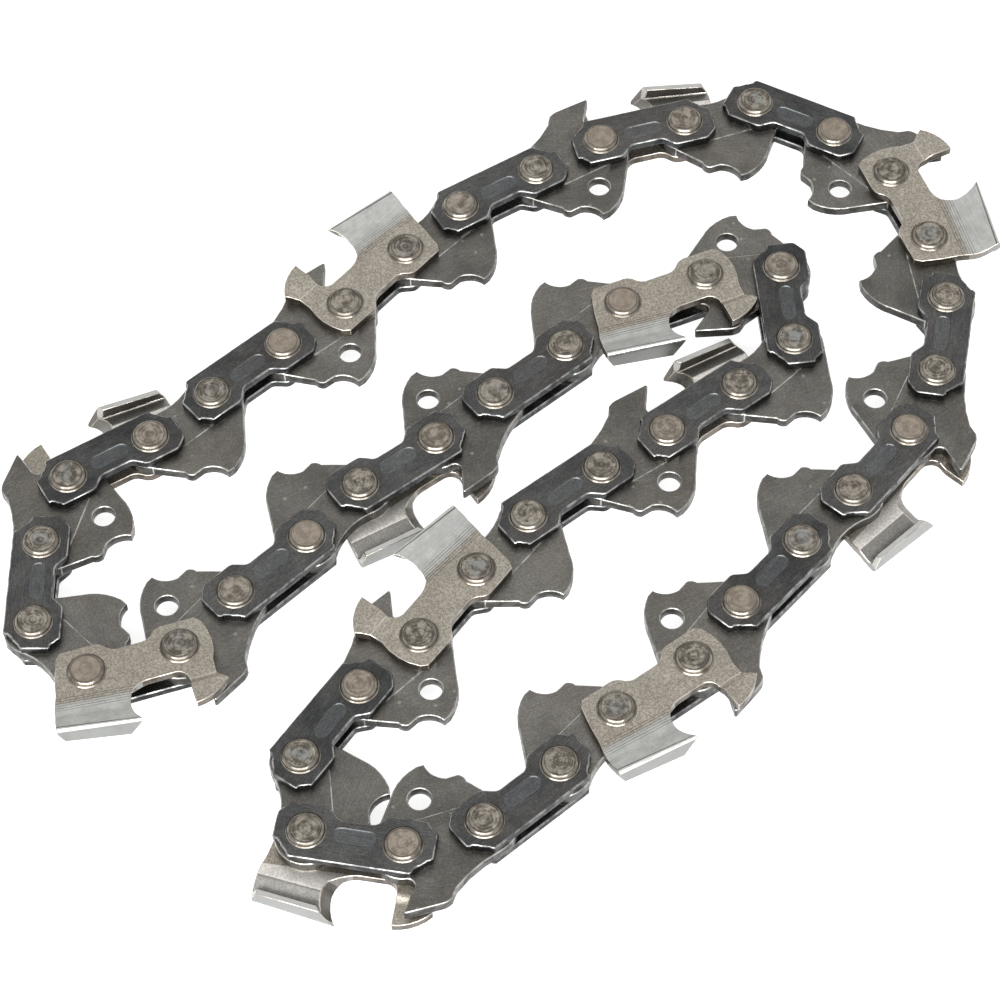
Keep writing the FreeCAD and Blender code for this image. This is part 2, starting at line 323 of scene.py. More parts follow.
def thicken(bm: BMesh, low: float, high: float, rim: float) -> None:
    """Turns a flat sheet of faces into a plate with rounded rims.

    Args:
        bm: The mesh, which holds the flat sheet alone.
        low: The level of the lower face.
        high: The level of the upper face.
        rim: The radius of the rims.
    """
    raise_sheet(bm, low + rim, high - rim)
    for face in bm.faces:
        if not is_level(face):
            # Walls take the wall finish, which is painted shade.
            face.material_index = Slot.WALL
    for sign in (1, -1):
        cap = [f for f in bm.faces if is_level(f) and f.normal.z * sign > 0]
        for inwards, outwards in RIM_STEPS:
            made = bmesh.ops.inset_region(
                bm,
                faces=cap,
                thickness=inwards * rim,
                depth=outwards * rim,
                use_boundary=True,
                use_even_offset=True,
            )
            # Rims take the rim finish: partly real rubbed wear and partly painted highlight.
            for face in made["faces"]:
                face.material_index = Slot.RIM


def mark_sharp(bm: BMesh, degrees: float) -> None:
    """Shades every face smooth, with a crease at each edge over an angle.

    Args:
        bm: The mesh to shade.
        degrees: The smallest angle between two faces that makes a crease.
    """
    for face in bm.faces:
        face.smooth = True
    for edge in bm.edges:
        if len(edge.link_faces) == 2:
            edge.smooth = edge.calc_face_angle(0.0) < math.radians(degrees)


def lay_uv(bm: BMesh) -> None:
    """Lays the piece's own UV map, with the link's origin at its middle.

    Args:
        bm: The mesh to lay it on.
    """
    layer = bm.loops.layers.uv.new(UV_NAME)
    for face in bm.faces:
        for loop in face.loops:
            x, y, _ = loop.vert.co
            loop[layer].uv = (x / UV_UNIT + UV_MIDDLE, y / UV_UNIT + UV_MIDDLE)


def finished_mesh(bm: BMesh, name: str, crease: float = 40.0) -> bpy.types.Mesh:
    """Closes a bmesh into a mesh with outward faces, creases and a UV map.

    Args:
        bm: The mesh in the link's frame, which is freed.
        name: The name of the new mesh.
        crease: The smallest angle of a crease, in degrees.

    Returns:
        The mesh.
    """
    bmesh.ops.recalc_face_normals(bm, faces=bm.faces[:])
    mark_sharp(bm, crease)
    lay_uv(bm)
    mesh = bpy.data.meshes.new(name)
    bm.to_mesh(mesh)
    bm.free()
    return mesh


# Shader nodes


class Tree:
    """A node tree with short calls that add nodes and join their sockets."""

    def __init__(self, tree: bpy.types.NodeTree) -> None:
        """Keeps the tree that the calls work on."""
        self.tree = tree

    def node(self, kind: str, **settings: object) -> bpy.types.Node:
        """Adds a node.

        Args:
            kind: The type of the node, without its ShaderNode prefix.
            **settings: Properties of the node, set as they are.

        Returns:
            The new node.
        """
        made = self.tree.nodes.new("ShaderNode" + kind)
        for key, value in settings.items():
            setattr(made, key, value)
        return made

    def feed(self, socket: Socket, value: Value) -> None:
        """Joins an output to a socket, or sets the socket to a plain value.

        Args:
            socket: The socket.
            value: The output, number or colour that it gets.
        """
        if isinstance(value, bpy.types.NodeSocket):
            self.tree.links.new(value, socket)
        else:
            socket.default_value = value

    def maths(self, operation: str, a: Value, b: Value = 0.0, clamp: bool = False) -> Socket:
        """Adds a Math node on two values.

        Args:
            operation: The name of the operation.
            a: The first output or number.
            b: The second output or number.
            clamp: Whether the result is kept from 0 to 1.

        Returns:
            The output of the node.
        """
        made = self.node("Math", operation=operation, use_clamp=clamp)
        self.feed(made.inputs[0], a)
        self.feed(made.inputs[1], b)
        return made.outputs[0]

    def times(self, a: Value, b: Value) -> Socket:
        """Multiplies two values."""
        return self.maths("MULTIPLY", a, b)

    def plus(self, a: Value, b: Value) -> Socket:
        """Adds two values up."""
        return self.maths("ADD", a, b)

    def near(self, value: Socket, level: float, reach: float) -> Socket:
        """Marks where a value lies near a level.

        Args:
            value: The output to test.
            level: The level.
            reach: How far from it the mark reaches.

        Returns:
            1 where it is near and 0 elsewhere.
        """
        found = self.maths("COMPARE", value, level)
        found.node.inputs[2].default_value = reach
        return found

    def spread(self, value: Value, span: tuple[Value, Value], to: Span = (0.0, 1.0)) -> Socket:
        """Maps a span of a value smoothly onto another span, and holds it beyond.

        Args:
            value: The output to map.
            span: Where the value's span starts and ends.
            to: The results at its start and end.

        Returns:
            The output of the node.
        """
        made = self.node("MapRange", interpolation_type="SMOOTHSTEP")
        for socket, given in zip(made.inputs, (value, *span, *to)):
            self.feed(socket, given)
        return made.outputs[0]

    def mix(self, factor: Value, a: Value, b: Value, blend: str = "MIX") -> Socket:
        """Mixes two colours.

        Args:
            factor: The share of the second colour.
            a: The first colour.
            b: The second colour.
            blend: How the two are blended.

        Returns:
            The colour output of the node.
        """
        made = self.node("Mix", data_type="RGBA", blend_type=blend)
        self.feed(made.inputs[0], factor)
        self.feed(made.inputs[MIX_FIRST], a)
        self.feed(made.inputs[MIX_SECOND], b)
        return made.outputs[MIX_RESULT]

    def shaded(self, colour: Value, painted_shade: Socket) -> Socket:
        """Darkens or lightens a colour by a value."""
        return self.mix(1.0, colour, painted_shade, blend="MULTIPLY")

    def noise(self, dimensions: str = "3D", **values: Value) -> Socket:
        """Adds a noise texture.

        Args:
            dimensions: The dimensions of its field.
            **values: Its inputs by name.

        Returns:
            The noise.
        """
        made = self.node("TexNoise", noise_dimensions=dimensions)
        for key, value in values.items():
            self.feed(made.inputs[key], value)
        return made.outputs["Fac"]

    def cells(self, where: Socket, scale: Value) -> Socket:
        """Adds a field of cells, as the distance to the middle of each.

        Args:
            where: The vector output that it lies in.
            scale: How many cells there are to a millimetre.

        Returns:
            The distance.
        """
        made = self.node("TexVoronoi", feature="F1")
        self.feed(made.inputs["Vector"], where)
        self.feed(made.inputs["Scale"], scale)
        return made.outputs["Distance"]

    def scaled(self, vector: Socket, scale: float) -> Socket:
        """Scales a vector.

        Args:
            vector: The vector output.
            scale: What each of its numbers is multiplied by.

        Returns:
            The output of the node.
        """
        made = self.node("VectorMath", operation="SCALE")
        self.feed(made.inputs[0], vector)
        made.inputs["Scale"].default_value = scale
        return made.outputs[0]

    def parts(self, vector: Socket) -> list[Socket]:
        """Takes a vector apart.

        Args:
            vector: The vector output.

        Returns:
            The outputs for its three numbers.
        """
        made = self.node("SeparateXYZ")
        self.feed(made.inputs[0], vector)
        return list(made.outputs)

    def group(self, group: bpy.types.NodeTree, **values: Value) -> Socket:
        """Adds one of the shared effects.

        Args:
            group: The node group of the effect.
            **values: Its inputs by name.

        Returns:
            The output of the effect.
        """
        made = self.node("Group", node_tree=group)
        for key, value in values.items():
            self.feed(made.inputs[key], value)
        return made.outputs[0]


@dataclass(frozen=True)
class Effects:
    """The shared effects: node groups that several finishes place."""

    mottle: bpy.types.NodeTree
    grain: bpy.types.NodeTree
    strokes: bpy.types.NodeTree


def new_group(name: str, inputs: dict[str, float | None], output: str) -> tuple[Tree, Sockets, Socket]:
    """Makes an empty node group with named sockets.

    Args:
        name: The name of the group.
        inputs: The default of each input by name, None for a vector.
        output: The name of its one output.

    Returns:
        The tree, its inputs by name and the socket that its result goes to.
    """
    made = bpy.data.node_groups.new(name, "ShaderNodeTree")
    for key, value in inputs.items():
        kind = "NodeSocketVector" if value is None else "NodeSocketFloat"
        socket = made.interface.new_socket(key, in_out="INPUT", socket_type=kind)
        if value is not None:
            socket.default_value = value
    made.interface.new_socket(output, in_out="OUTPUT", socket_type="NodeSocketFloat")
    entry = made.nodes.new("NodeGroupInput")
    leave = made.nodes.new("NodeGroupOutput")
    return Tree(made), {key: entry.outputs[key] for key in inputs}, leave.inputs[output]


def mottle_group() -> bpy.types.NodeTree:
    """Builds soft patches of a given size, as a mask.

    Returns:
        The node group.
    """
    inputs = {"Vector": None, "Scale": 0.3, "Detail": 3.0, "Low": 0.4, "High": 0.65}
    tree, given, mask = new_group("soft_mottle", inputs, "Mask")
    noise = tree.noise(
        Vector=given["Vector"], Scale=given["Scale"], Detail=given["Detail"], Roughness=0.6
    )
    tree.feed(mask, tree.spread(noise, (given["Low"], given["High"])))
    return tree.tree


def grain_group(cell_share: float = 0.45, gain: float = 0.7) -> bpy.types.NodeTree:
    """Builds the fine pitted grain of blasted steel, as a height from 0 to 1.

    Args:
        cell_share: The scale of the pits as a share of the grain's.
        gain: What the sum of grain and pits is multiplied by.

    Returns:
        The node group.
    """
    inputs = {"Vector": None, "Scale": 6.0, "Coarse": 0.5}
    tree, given, height = new_group("pitted_grain", inputs, "Height")
    fine = tree.noise(Vector=given["Vector"], Scale=given["Scale"], Detail=4.0, Roughness=0.7)
    pits = tree.cells(given["Vector"], tree.times(given["Scale"], cell_share))
    total = tree.plus(fine, tree.times(pits, given["Coarse"]))
    tree.feed(height, tree.maths("MULTIPLY", total, gain, clamp=True))
    return tree.tree


def stroke_group() -> bpy.types.NodeTree:
    """Builds fine lines along one direction, such as grinding marks, as a value.

    Returns:
        The node group.
    """
    inputs = {"Vector": None, "Turn": 0.0, "Across": 8.0, "Along": 0.4}
    tree, given, value = new_group("fine_lines", inputs, "Value")
    turned = tree.node("VectorRotate", rotation_type="Z_AXIS")
    tree.feed(turned.inputs["Vector"], given["Vector"])
    tree.feed(turned.inputs["Angle"], given["Turn"])
    x, y, z = tree.parts(turned.outputs[0])
    drawn_out = tree.node("CombineXYZ")
    stretched = (tree.times(x, given["Along"]), tree.times(y, given["Across"]), z)
    for socket, part in zip(drawn_out.inputs, stretched):
        tree.feed(socket, part)
    lines = tree.noise(Vector=drawn_out.outputs[0], Scale=1.0, Detail=3.0, Roughness=0.65)
    tree.feed(value, lines)
    return tree.tree


def in_millimetres(tree: Tree) -> Socket:
    """Object coordinates, in millimetres."""
    return tree.scaled(tree.node("TexCoord").outputs["Object"], 1 / MM)


def in_link_frame(tree: Tree) -> Socket:
    """The piece's own UV map, in millimetres of the link's frame.

    Args:
        tree: The material's tree.

    Returns:
        The vector output.
    """
    laid = tree.node("UVMap", uv_map=UV_NAME)
    moved = tree.node("VectorMath", operation="SUBTRACT")
    tree.feed(moved.inputs[0], laid.outputs[0])
    moved.inputs[1].default_value = (UV_MIDDLE, UV_MIDDLE, 0.0)
    return tree.scaled(moved.outputs[0], UV_UNIT)


def piece_tint(tree: Tree) -> Socket:
    """The piece's own tint, a number from 0 to 1 that is kept with its mesh."""
    return tree.node("Attribute", attribute_name=TINT_NAME).outputs["Fac"]


def opaque(colour: Colour, gain: float = 1.0) -> tuple[float, float, float, float]:
    """A colour as a socket takes it.

    Args:
        colour: The colour.
        gain: What each part of it is multiplied by.

    Returns:
        Its parts, at most 1 each, and an alpha of 1.
    """
    return (*(min(1.0, part * gain) for part in colour), 1.0)


def surface(name: str, metallic: float) -> tuple[bpy.types.Material, Tree, bpy.types.Node]:
    """Starts a material.

    Args:
        name: The name of the material.
        metallic: How metallic it is, from 0 to 1.

    Returns:
        The material, its tree and its shader.
    """
    material = bpy.data.materials.new(name)
    material.use_nodes = True
    tree = Tree(material.node_tree)
    shader = material.node_tree.nodes["Principled BSDF"]
    shader.inputs["Metallic"].default_value = metallic
    return material, tree, shader


# Finishes


@dataclass(frozen=True)
class Finish:
    """A finish of bare or blued steel, which wanders between two shades.

    Its relief is the depth of a whole step of the finish's height, in
    millimetres, and the strength that it is shown with.
    """

    name: str
    light: Colour
    dark: Colour
    relief: ClassVar[Span] = (0.02, 0.5)

    def make(self, effects: Effects) -> bpy.types.Material:
        """Builds the material.

        Args:
            effects: The shared effects.

        Returns:
            The material.
        """
        material, tree, shader = surface(self.name, metallic=1.0)
        colour, roughness, height = self.dress(tree, effects)
        depth, strength = self.relief
        bump = tree.node("Bump")
        bump.inputs["Distance"].default_value = depth * MM
        bump.inputs["Strength"].default_value = strength
        tree.feed(bump.inputs["Height"], height)
        tree.feed(shader.inputs["Base Color"], colour)
        tree.feed(shader.inputs["Roughness"], roughness)
        tree.feed(shader.inputs["Normal"], bump.outputs[0])
        return material

    def dress(self, tree: Tree, effects: Effects) -> tuple[Socket, Socket, Socket]:
        """Draws the finish, each kind in its own way.

        Args:
            tree: The material's tree.
            effects: The shared effects.

        Returns:
            Its colour, its roughness and its height.
        """
        raise NotImplementedError

    def painted_shade(self, tree: Tree, share: Socket) -> Socket:
        """Mixes the two shades, the light one in by its share."""
        return tree.mix(share, opaque(self.dark), opaque(self.light))


@dataclass(frozen=True)
class DarkSteel(Finish):
    """Blued and oiled steel of the straps and drive links, with a satin grain."""

    stain: Colour
    stain_share: float = 0.25
    roughness: float = 0.42
    line_turn: float = 0.0
    line_strength: float = 0.25
    heat: Colour = (0.12, 0.09, 0.085)
    heat_share: float = 0.18
    dot_strength: float = 0.0
    dot_scale: float = 0.42
    dot_edge: Span = (0.07, 0.11)
    dot_gain: float = 2.2
    relief: ClassVar[Span] = (0.02, 0.35)

    def dress(self, tree: Tree, effects: Effects) -> tuple[Socket, Socket, Socket]:
        """Draws patches, stains and heat tints under fine lines and a few dots.

        Args:
            tree: The material's tree.
            effects: The shared effects.

        Returns:
            Its colour, its roughness and its height.
        """
        where, own = in_millimetres(tree), in_link_frame(tree)
        patch = tree.group(effects.mottle, Vector=where, Scale=0.22, Detail=4.0, Low=0.36, High=0.66)
        cloud = tree.group(effects.mottle, Vector=where, Scale=0.9, Detail=5.0, Low=0.42, High=0.72)
        bloom = tree.group(effects.mottle, Vector=where, Scale=0.07, Detail=2.0, Low=0.5, High=0.68)
        grain = tree.group(effects.grain, Vector=where, Scale=9.0, Coarse=0.4)
        lines = tree.group(effects.strokes, Vector=own, Turn=self.line_turn, Across=9.0, Along=0.5)
        colour = self.painted_shade(tree, tree.times(tree.plus(patch, piece_tint(tree)), 0.5))
        colour = tree.mix(tree.times(cloud, self.stain_share), colour, opaque(self.stain))
        colour = tree.mix(tree.times(bloom, self.heat_share), colour, opaque(self.heat))
        fine = tree.spread(grain, (0.3, 0.7), (0.76, 1.24))
        line = tree.spread(lines, (0.3, 0.7), (1 - self.line_strength, 1 + self.line_strength))
        colour = tree.shaded(colour, tree.times(fine, line))
        if self.dot_strength:
            dot = tree.spread(tree.cells(where, self.dot_scale), self.dot_edge, (self.dot_strength, 0.0))
            colour = tree.mix(dot, colour, opaque(self.light, self.dot_gain))
        roughness = tree.spread(cloud, (0.0, 1.0), (self.roughness - 0.05, self.roughness + 0.08))
        return colour, roughness, tree.plus(grain, tree.times(lines, 0.4))


@dataclass(frozen=True)
class RimAndWallSteel(Finish):
    """Steel in two shades laid in patches, for rims and walls. On the rims of the plates it is partly real
    rubbed wear and partly painted highlight, and on their walls its dark shades are painted shade.
    """

    roughness: float = 0.3
    relief: ClassVar[Span] = (0.015, 0.3)

    def dress(self, tree: Tree, effects: Effects) -> tuple[Socket, Socket, Socket]:
        """Draws the two shades in patches, smoother where they are bright.

        Args:
            tree: The material's tree.
            effects: The shared effects.

        Returns:
            Its colour, its roughness and its height.
        """
        where = in_millimetres(tree)
        patches = tree.group(effects.mottle, Vector=where, Scale=0.8, Detail=5.0, Low=0.38, High=0.6)
        grain = tree.group(effects.grain, Vector=where, Scale=8.0, Coarse=0.3)
        roughness = tree.spread(patches, (0.0, 1.0), (self.roughness + 0.15, self.roughness))
        return self.painted_shade(tree, patches), roughness, grain


@dataclass(frozen=True)
class SpeckledSteel(Finish):
    """Tumbled steel of the cutters, warm grey with a fine speckle.

    Where plated is set, the tooth above the bend is plated bright, the press
    has left fine lines along the bend, and a painted highlight runs along the
    crease of the depth gauge. The spans of the plating, the lines and the
    gauge are places in the link's frame where a mark comes or goes, in
    millimetres.
    """

    plated: Colour | None = None
    roughness: float = 0.42
    speckle: Span = (0.55, 1.28)
    slant: float = 0.10
    plating_foot: Span = (3.95, 4.75)
    plating_front: Span = (-1.6, -0.8)
    line_pitch: float = 0.29
    lines_foot: Span = (3.1, 3.3)
    lines_head: Span = (4.6, 5.0)
    lines_front: Span = (-0.6, 0.2)
    gauge_crease: float = 4.22
    gauge_crease_reach: float = 0.055
    gauge_rear: Span = (-4.0, -3.6)

    def dress(self, tree: Tree, effects: Effects) -> tuple[Socket, Socket, Socket]:
        """Draws soft patches under the speckle, and plates the tooth.

        Args:
            tree: The material's tree.
            effects: The shared effects.

        Returns:
            Its colour, its roughness and its height.
        """
        where = in_millimetres(tree)
        patch = tree.group(effects.mottle, Vector=where, Scale=0.3, Detail=3.0, Low=0.35, High=0.7)
        grain = tree.group(effects.grain, Vector=where, Scale=8.5, Coarse=0.3)
        colour = self.painted_shade(tree, tree.times(tree.plus(patch, piece_tint(tree)), 0.5))
        colour = tree.shaded(colour, tree.spread(grain, (0.3, 0.6), self.speckle))
        roughness = tree.spread(grain, (0.2, 0.8), (self.roughness + 0.06, self.roughness - 0.04))
        if not self.plated:
            return colour, roughness, grain
        colour, height = self.plate(tree, effects, colour, grain)
        return colour, roughness, height

    def plate(self, tree: Tree, effects: Effects, colour: Socket, grain: Socket) -> tuple[Socket, Socket]:
        """Adds the bright plating of the tooth, the press lines at its bend and a painted highlight along
        the gauge's crease.

        Args:
            tree: The material's tree.
            effects: The shared effects.
            colour: The colour of the bare steel.
            grain: The height of its grain.

        Returns:
            The colour and the height with plating and lines.
        """
        own = in_link_frame(tree)
        x, y, _ = tree.parts(own)
        slanted = tree.plus(y, tree.times(x, self.slant))
        streaks = tree.group(effects.strokes, Vector=own, Turn=self.slant, Across=6.0, Along=0.3)
        cloud = tree.group(
            effects.mottle, Vector=in_millimetres(tree), Scale=0.7, Detail=4.0, Low=0.3, High=0.7
        )
        ragged = tree.plus(slanted, tree.times(streaks, 0.8))
        bright = tree.times(
            tree.spread(ragged, self.plating_foot), tree.spread(x, self.plating_front)
        )
        silver = opaque(self.plated)
        for mask, span, to in (
            (streaks, (0.3, 0.7), (0.9, 1.08)),
            (cloud, (0.0, 1.0), (0.9, 1.06)),
            (grain, (0.25, 0.6), (0.9, 1.06)),
        ):
            silver = tree.shaded(silver, tree.spread(mask, span, to))
        colour = tree.mix(bright, colour, silver)
        wave = tree.maths("SINE", tree.times(slanted, math.tau / self.line_pitch))
        line = tree.spread(wave, (0.45, 0.95))
        for mask in (
            tree.spread(slanted, self.lines_foot),
            tree.spread(slanted, self.lines_head, (1.0, 0.0)),
            tree.spread(x, self.lines_front),
            tree.spread(streaks, (0.36, 0.5), (0.35, 1.0)),
        ):
            line = tree.times(line, mask)
        pressed = tree.times(line, tree.spread(piece_tint(tree), (0.3, 0.8), (0.8, 0.25)))
        colour = tree.mix(pressed, colour, opaque(self.dark, 0.25))
        # A painted highlight along the crease of the depth gauge's bend, fading towards its rear.
        crease = tree.near(y, self.gauge_crease, self.gauge_crease_reach)
        crease = tree.times(crease, tree.spread(x, self.gauge_rear, (0.55, 0.0)))
        colour = tree.mix(crease, colour, opaque(self.light, 1.7))
        return colour, tree.maths("SUBTRACT", grain, tree.times(line, 1.5))


@dataclass(frozen=True)
class GroundSteel(Finish):
    """Steel of a tooth with fine lines at a turn in radians. Its shades are those of plated and ground
    faces, and on the fold painted highlight and painted shade.
    """

    turn: float
    roughness: float = 0.3
    relief: ClassVar[Span] = (0.01, 0.25)

    def dress(self, tree: Tree, effects: Effects) -> tuple[Socket, Socket, Socket]:
        """Draws the lines at their turn over a soft cloud.

        Args:
            tree: The material's tree.
            effects: The shared effects.

        Returns:
            Its colour, its roughness and its height.
        """
        where, own = in_millimetres(tree), in_link_frame(tree)
        lines = tree.group(effects.strokes, Vector=own, Turn=self.turn, Across=7.0, Along=0.25)
        cloud = tree.group(effects.mottle, Vector=where, Scale=0.6, Detail=4.0, Low=0.35, High=0.7)
        line = tree.spread(lines, (0.3, 0.7))
        colour = self.painted_shade(tree, tree.times(tree.plus(line, cloud), 0.5))
        return colour, tree.spread(cloud, (0.0, 1.0), (self.roughness, self.roughness + 0.1)), line


@dataclass(frozen=True)
class HammeredSteel(Finish):
    """The clenched face of a rivet: brown-grey, marked in rings by the tool."""

    brown: Colour
    blue: Colour
    groove: float = 1.60
    groove_reach: float = 0.06
    heart: Span = (0.5, 1.5)
    ring_scale: float = 3.2
    ring_shift: float = 60.0
    roughness: float = 0.38
    relief: ClassVar[Span] = (0.03, 0.5)

    def dress(self, tree: Tree, effects: Effects) -> tuple[Socket, Socket, Socket]:
        """Draws the rings, the clouds over them, the tints and a painted shade line in the groove.

        Args:
            tree: The material's tree.
            effects: The shared effects.

        Returns:
            Its colour, its roughness and its height.
        """
        where, tint = in_millimetres(tree), piece_tint(tree)
        length = tree.node("VectorMath", operation="LENGTH")
        tree.feed(length.inputs[0], in_link_frame(tree))
        radius = length.outputs["Value"]
        drift = tree.group(effects.mottle, Vector=where, Scale=0.9, Detail=3.0, Low=0.2, High=0.8)
        cloud = tree.group(effects.mottle, Vector=where, Scale=1.1, Detail=6.0, Low=0.36, High=0.66)
        grain = tree.group(effects.grain, Vector=where, Scale=8.0, Coarse=0.3)
        bent = tree.plus(radius, tree.times(drift, 0.3))
        shifted = tree.plus(bent, tree.times(tint, self.ring_shift))
        rings = tree.noise("1D", W=shifted, Scale=self.ring_scale, Detail=2.0)
        band = tree.spread(rings, (0.35, 0.65))
        mixed = tree.plus(tree.times(band, 0.5), cloud)
        colour = self.painted_shade(tree, tree.spread(mixed, (0.1, 1.35), (0.05, 1.0)))
        colour = tree.shaded(colour, tree.spread(grain, (0.3, 0.65), (0.66, 1.25)))
        colour = tree.mix(tree.spread(tint, (0.55, 1.0), (0.0, 0.65)), colour, opaque(self.brown))
        chill = tree.spread(tint, (0.35, 0.1), (0.0, 0.8))
        chill = tree.times(tree.spread(radius, self.heart, (1.0, 0.0)), chill)
        colour = tree.mix(tree.times(chill, cloud), colour, opaque(self.blue))
        # A painted shade line in the groove round the face.
        groove = tree.times(tree.near(radius, self.groove, self.groove_reach), 0.55)
        colour = tree.mix(groove, colour, opaque(self.dark, 0.35))
        roughness = tree.spread(cloud, (0.0, 1.0), (self.roughness, self.roughness + 0.12))
        return colour, roughness, tree.plus(tree.times(band, 0.6), cloud)


@dataclass(frozen=True)
class Finishes:
    """All materials of the loop."""

    strap: bpy.types.Material
    strap_edge: bpy.types.Material
    strap_wall_painted_shade: bpy.types.Material
    recess: bpy.types.Material
    drive: bpy.types.Material
    drive_edge: bpy.types.Material
    drive_wall_painted_shade: bpy.types.Material
    cutter: bpy.types.Material
    cutter_edge: bpy.types.Material
    cutter_wall_painted_shade: bpy.types.Material
    cutter_inside: bpy.types.Material
    top_plate: bpy.types.Material
    fold: bpy.types.Material
    fold_painted_shade: bpy.types.Material
    tooth_root_painted_light: bpy.types.Material
    flare_inside_painted_shade: bpy.types.Material
    gullet: bpy.types.Material
    plate_under: bpy.types.Material
    free_edge: bpy.types.Material
    rivet: bpy.types.Material
    rivet_edge: bpy.types.Material
    rivet_hub: bpy.types.Material


def make_finishes() -> Finishes:
    """Builds every material with its own colours.

    Returns:
        The materials.
    """
    effects = Effects(mottle_group(), grain_group(), stroke_group())
    along_fold, down_gullet = 0.16, 1.4
    kinds = {
        "strap": DarkSteel(
            "blued_strap", (0.117, 0.118, 0.115), (0.046, 0.048, 0.048), (0.1, 0.09, 0.078)
        ),
        # The strap's rims: partly real rubbed wear and partly painted highlight, lighter than its skin.
        "strap_edge": RimAndWallSteel(
            "strap_edge_worn_and_highlight", (0.36, 0.36, 0.35), (0.11, 0.112, 0.112), roughness=0.2
        ),
        # The strap's walls: painted shade, darker than its skin.
        "strap_wall_painted_shade": RimAndWallSteel("strap_wall_painted_shade", (0.05, 0.053, 0.055), (0.018, 0.019, 0.02)),
        "recess": DarkSteel(
            "blued_recess", (0.13, 0.136, 0.138), (0.085, 0.09, 0.093), (0.10, 0.095, 0.085)
        ),
        "drive": DarkSteel(
            "drive_link_steel",
            (0.20, 0.192, 0.176),
            (0.105, 0.101, 0.092),
            (0.165, 0.142, 0.115),
            line_turn=0.4,
            line_strength=0.15,
            heat=(0.17, 0.145, 0.115),
            dot_strength=0.4,
        ),
        # The drive link's rims and tang step: partly real rubbed wear and partly painted highlight.
        "drive_edge": RimAndWallSteel(
            "drive_edge_worn_and_highlight", (0.46, 0.45, 0.43), (0.22, 0.215, 0.2), roughness=0.22
        ),
        # The drive link's walls: painted shade, darker than its face.
        "drive_wall_painted_shade": RimAndWallSteel("drive_wall_painted_shade", (0.08, 0.077, 0.072), (0.038, 0.037, 0.034)),
        "cutter": SpeckledSteel(
            "tumbled_cutter", (0.425, 0.39, 0.335), (0.33, 0.297, 0.252), plated=(0.475, 0.48, 0.46)
        ),
        # The cutter's rounded edges: partly real rubbed wear and partly painted highlight.
        "cutter_edge": RimAndWallSteel("cutter_edge", (0.60, 0.56, 0.50), (0.34, 0.31, 0.27), roughness=0.22),
        # The cutter's walls: painted shade, far darker than its steel.
        "cutter_wall_painted_shade": RimAndWallSteel("cutter_wall_painted_shade", (0.15, 0.13, 0.11), (0.07, 0.06, 0.05)),
        "cutter_inside": SpeckledSteel("tumbled_inside", (0.40, 0.365, 0.31), (0.30, 0.27, 0.225)),
        "top_plate": GroundSteel("tooth_top", (0.30, 0.305, 0.295), (0.22, 0.225, 0.215), along_fold),
        # The fold's bright band: painted highlight, far lighter than the top plate.
        "fold": GroundSteel(
            "tooth_fold_painted_highlight", (0.85, 0.84, 0.82), (0.7, 0.69, 0.67), along_fold, roughness=0.18
        ),
        # A thin dark band of the fold beside the flare: painted shade.
        "fold_painted_shade": GroundSteel("fold_painted_shade", (0.2, 0.19, 0.175), (0.13, 0.12, 0.11), along_fold),
        # The inside of the tooth below the bend: painted light, far lighter than the cutter's own steel.
        "tooth_root_painted_light": SpeckledSteel(
            "tooth_root_painted_light", (0.82, 0.785, 0.735), (0.66, 0.63, 0.585), speckle=(0.7, 1.12)
        ),
        # The inside of the flare: painted shade, darker than the cutter's steel.
        "flare_inside_painted_shade": SpeckledSteel(
            "flare_inside_painted_shade", (0.28, 0.272, 0.252), (0.2, 0.194, 0.178), speckle=(0.7, 1.15)
        ),
        "gullet": GroundSteel("ground_gullet", (0.26, 0.25, 0.23), (0.16, 0.15, 0.138), down_gullet),
        "plate_under": GroundSteel("plate_under", (0.29, 0.273, 0.248), (0.18, 0.17, 0.153), along_fold),
        "free_edge": GroundSteel("free_edge", (0.56, 0.56, 0.54), (0.44, 0.44, 0.425), along_fold),
        "rivet": HammeredSteel(
            "rivet_face",
            (0.37, 0.335, 0.285),
            (0.10, 0.088, 0.072),
            brown=(0.33, 0.275, 0.22),
            blue=(0.25, 0.275, 0.28),
        ),
        "rivet_edge": RimAndWallSteel("rivet_edge", (0.27, 0.245, 0.21), (0.15, 0.135, 0.115), roughness=0.17),
        "rivet_hub": RimAndWallSteel("rivet_hub", (0.2, 0.195, 0.185), (0.1, 0.098, 0.092)),
    }
    return Finishes(**{key: kind.make(effects) for key, kind in kinds.items()})


# Links


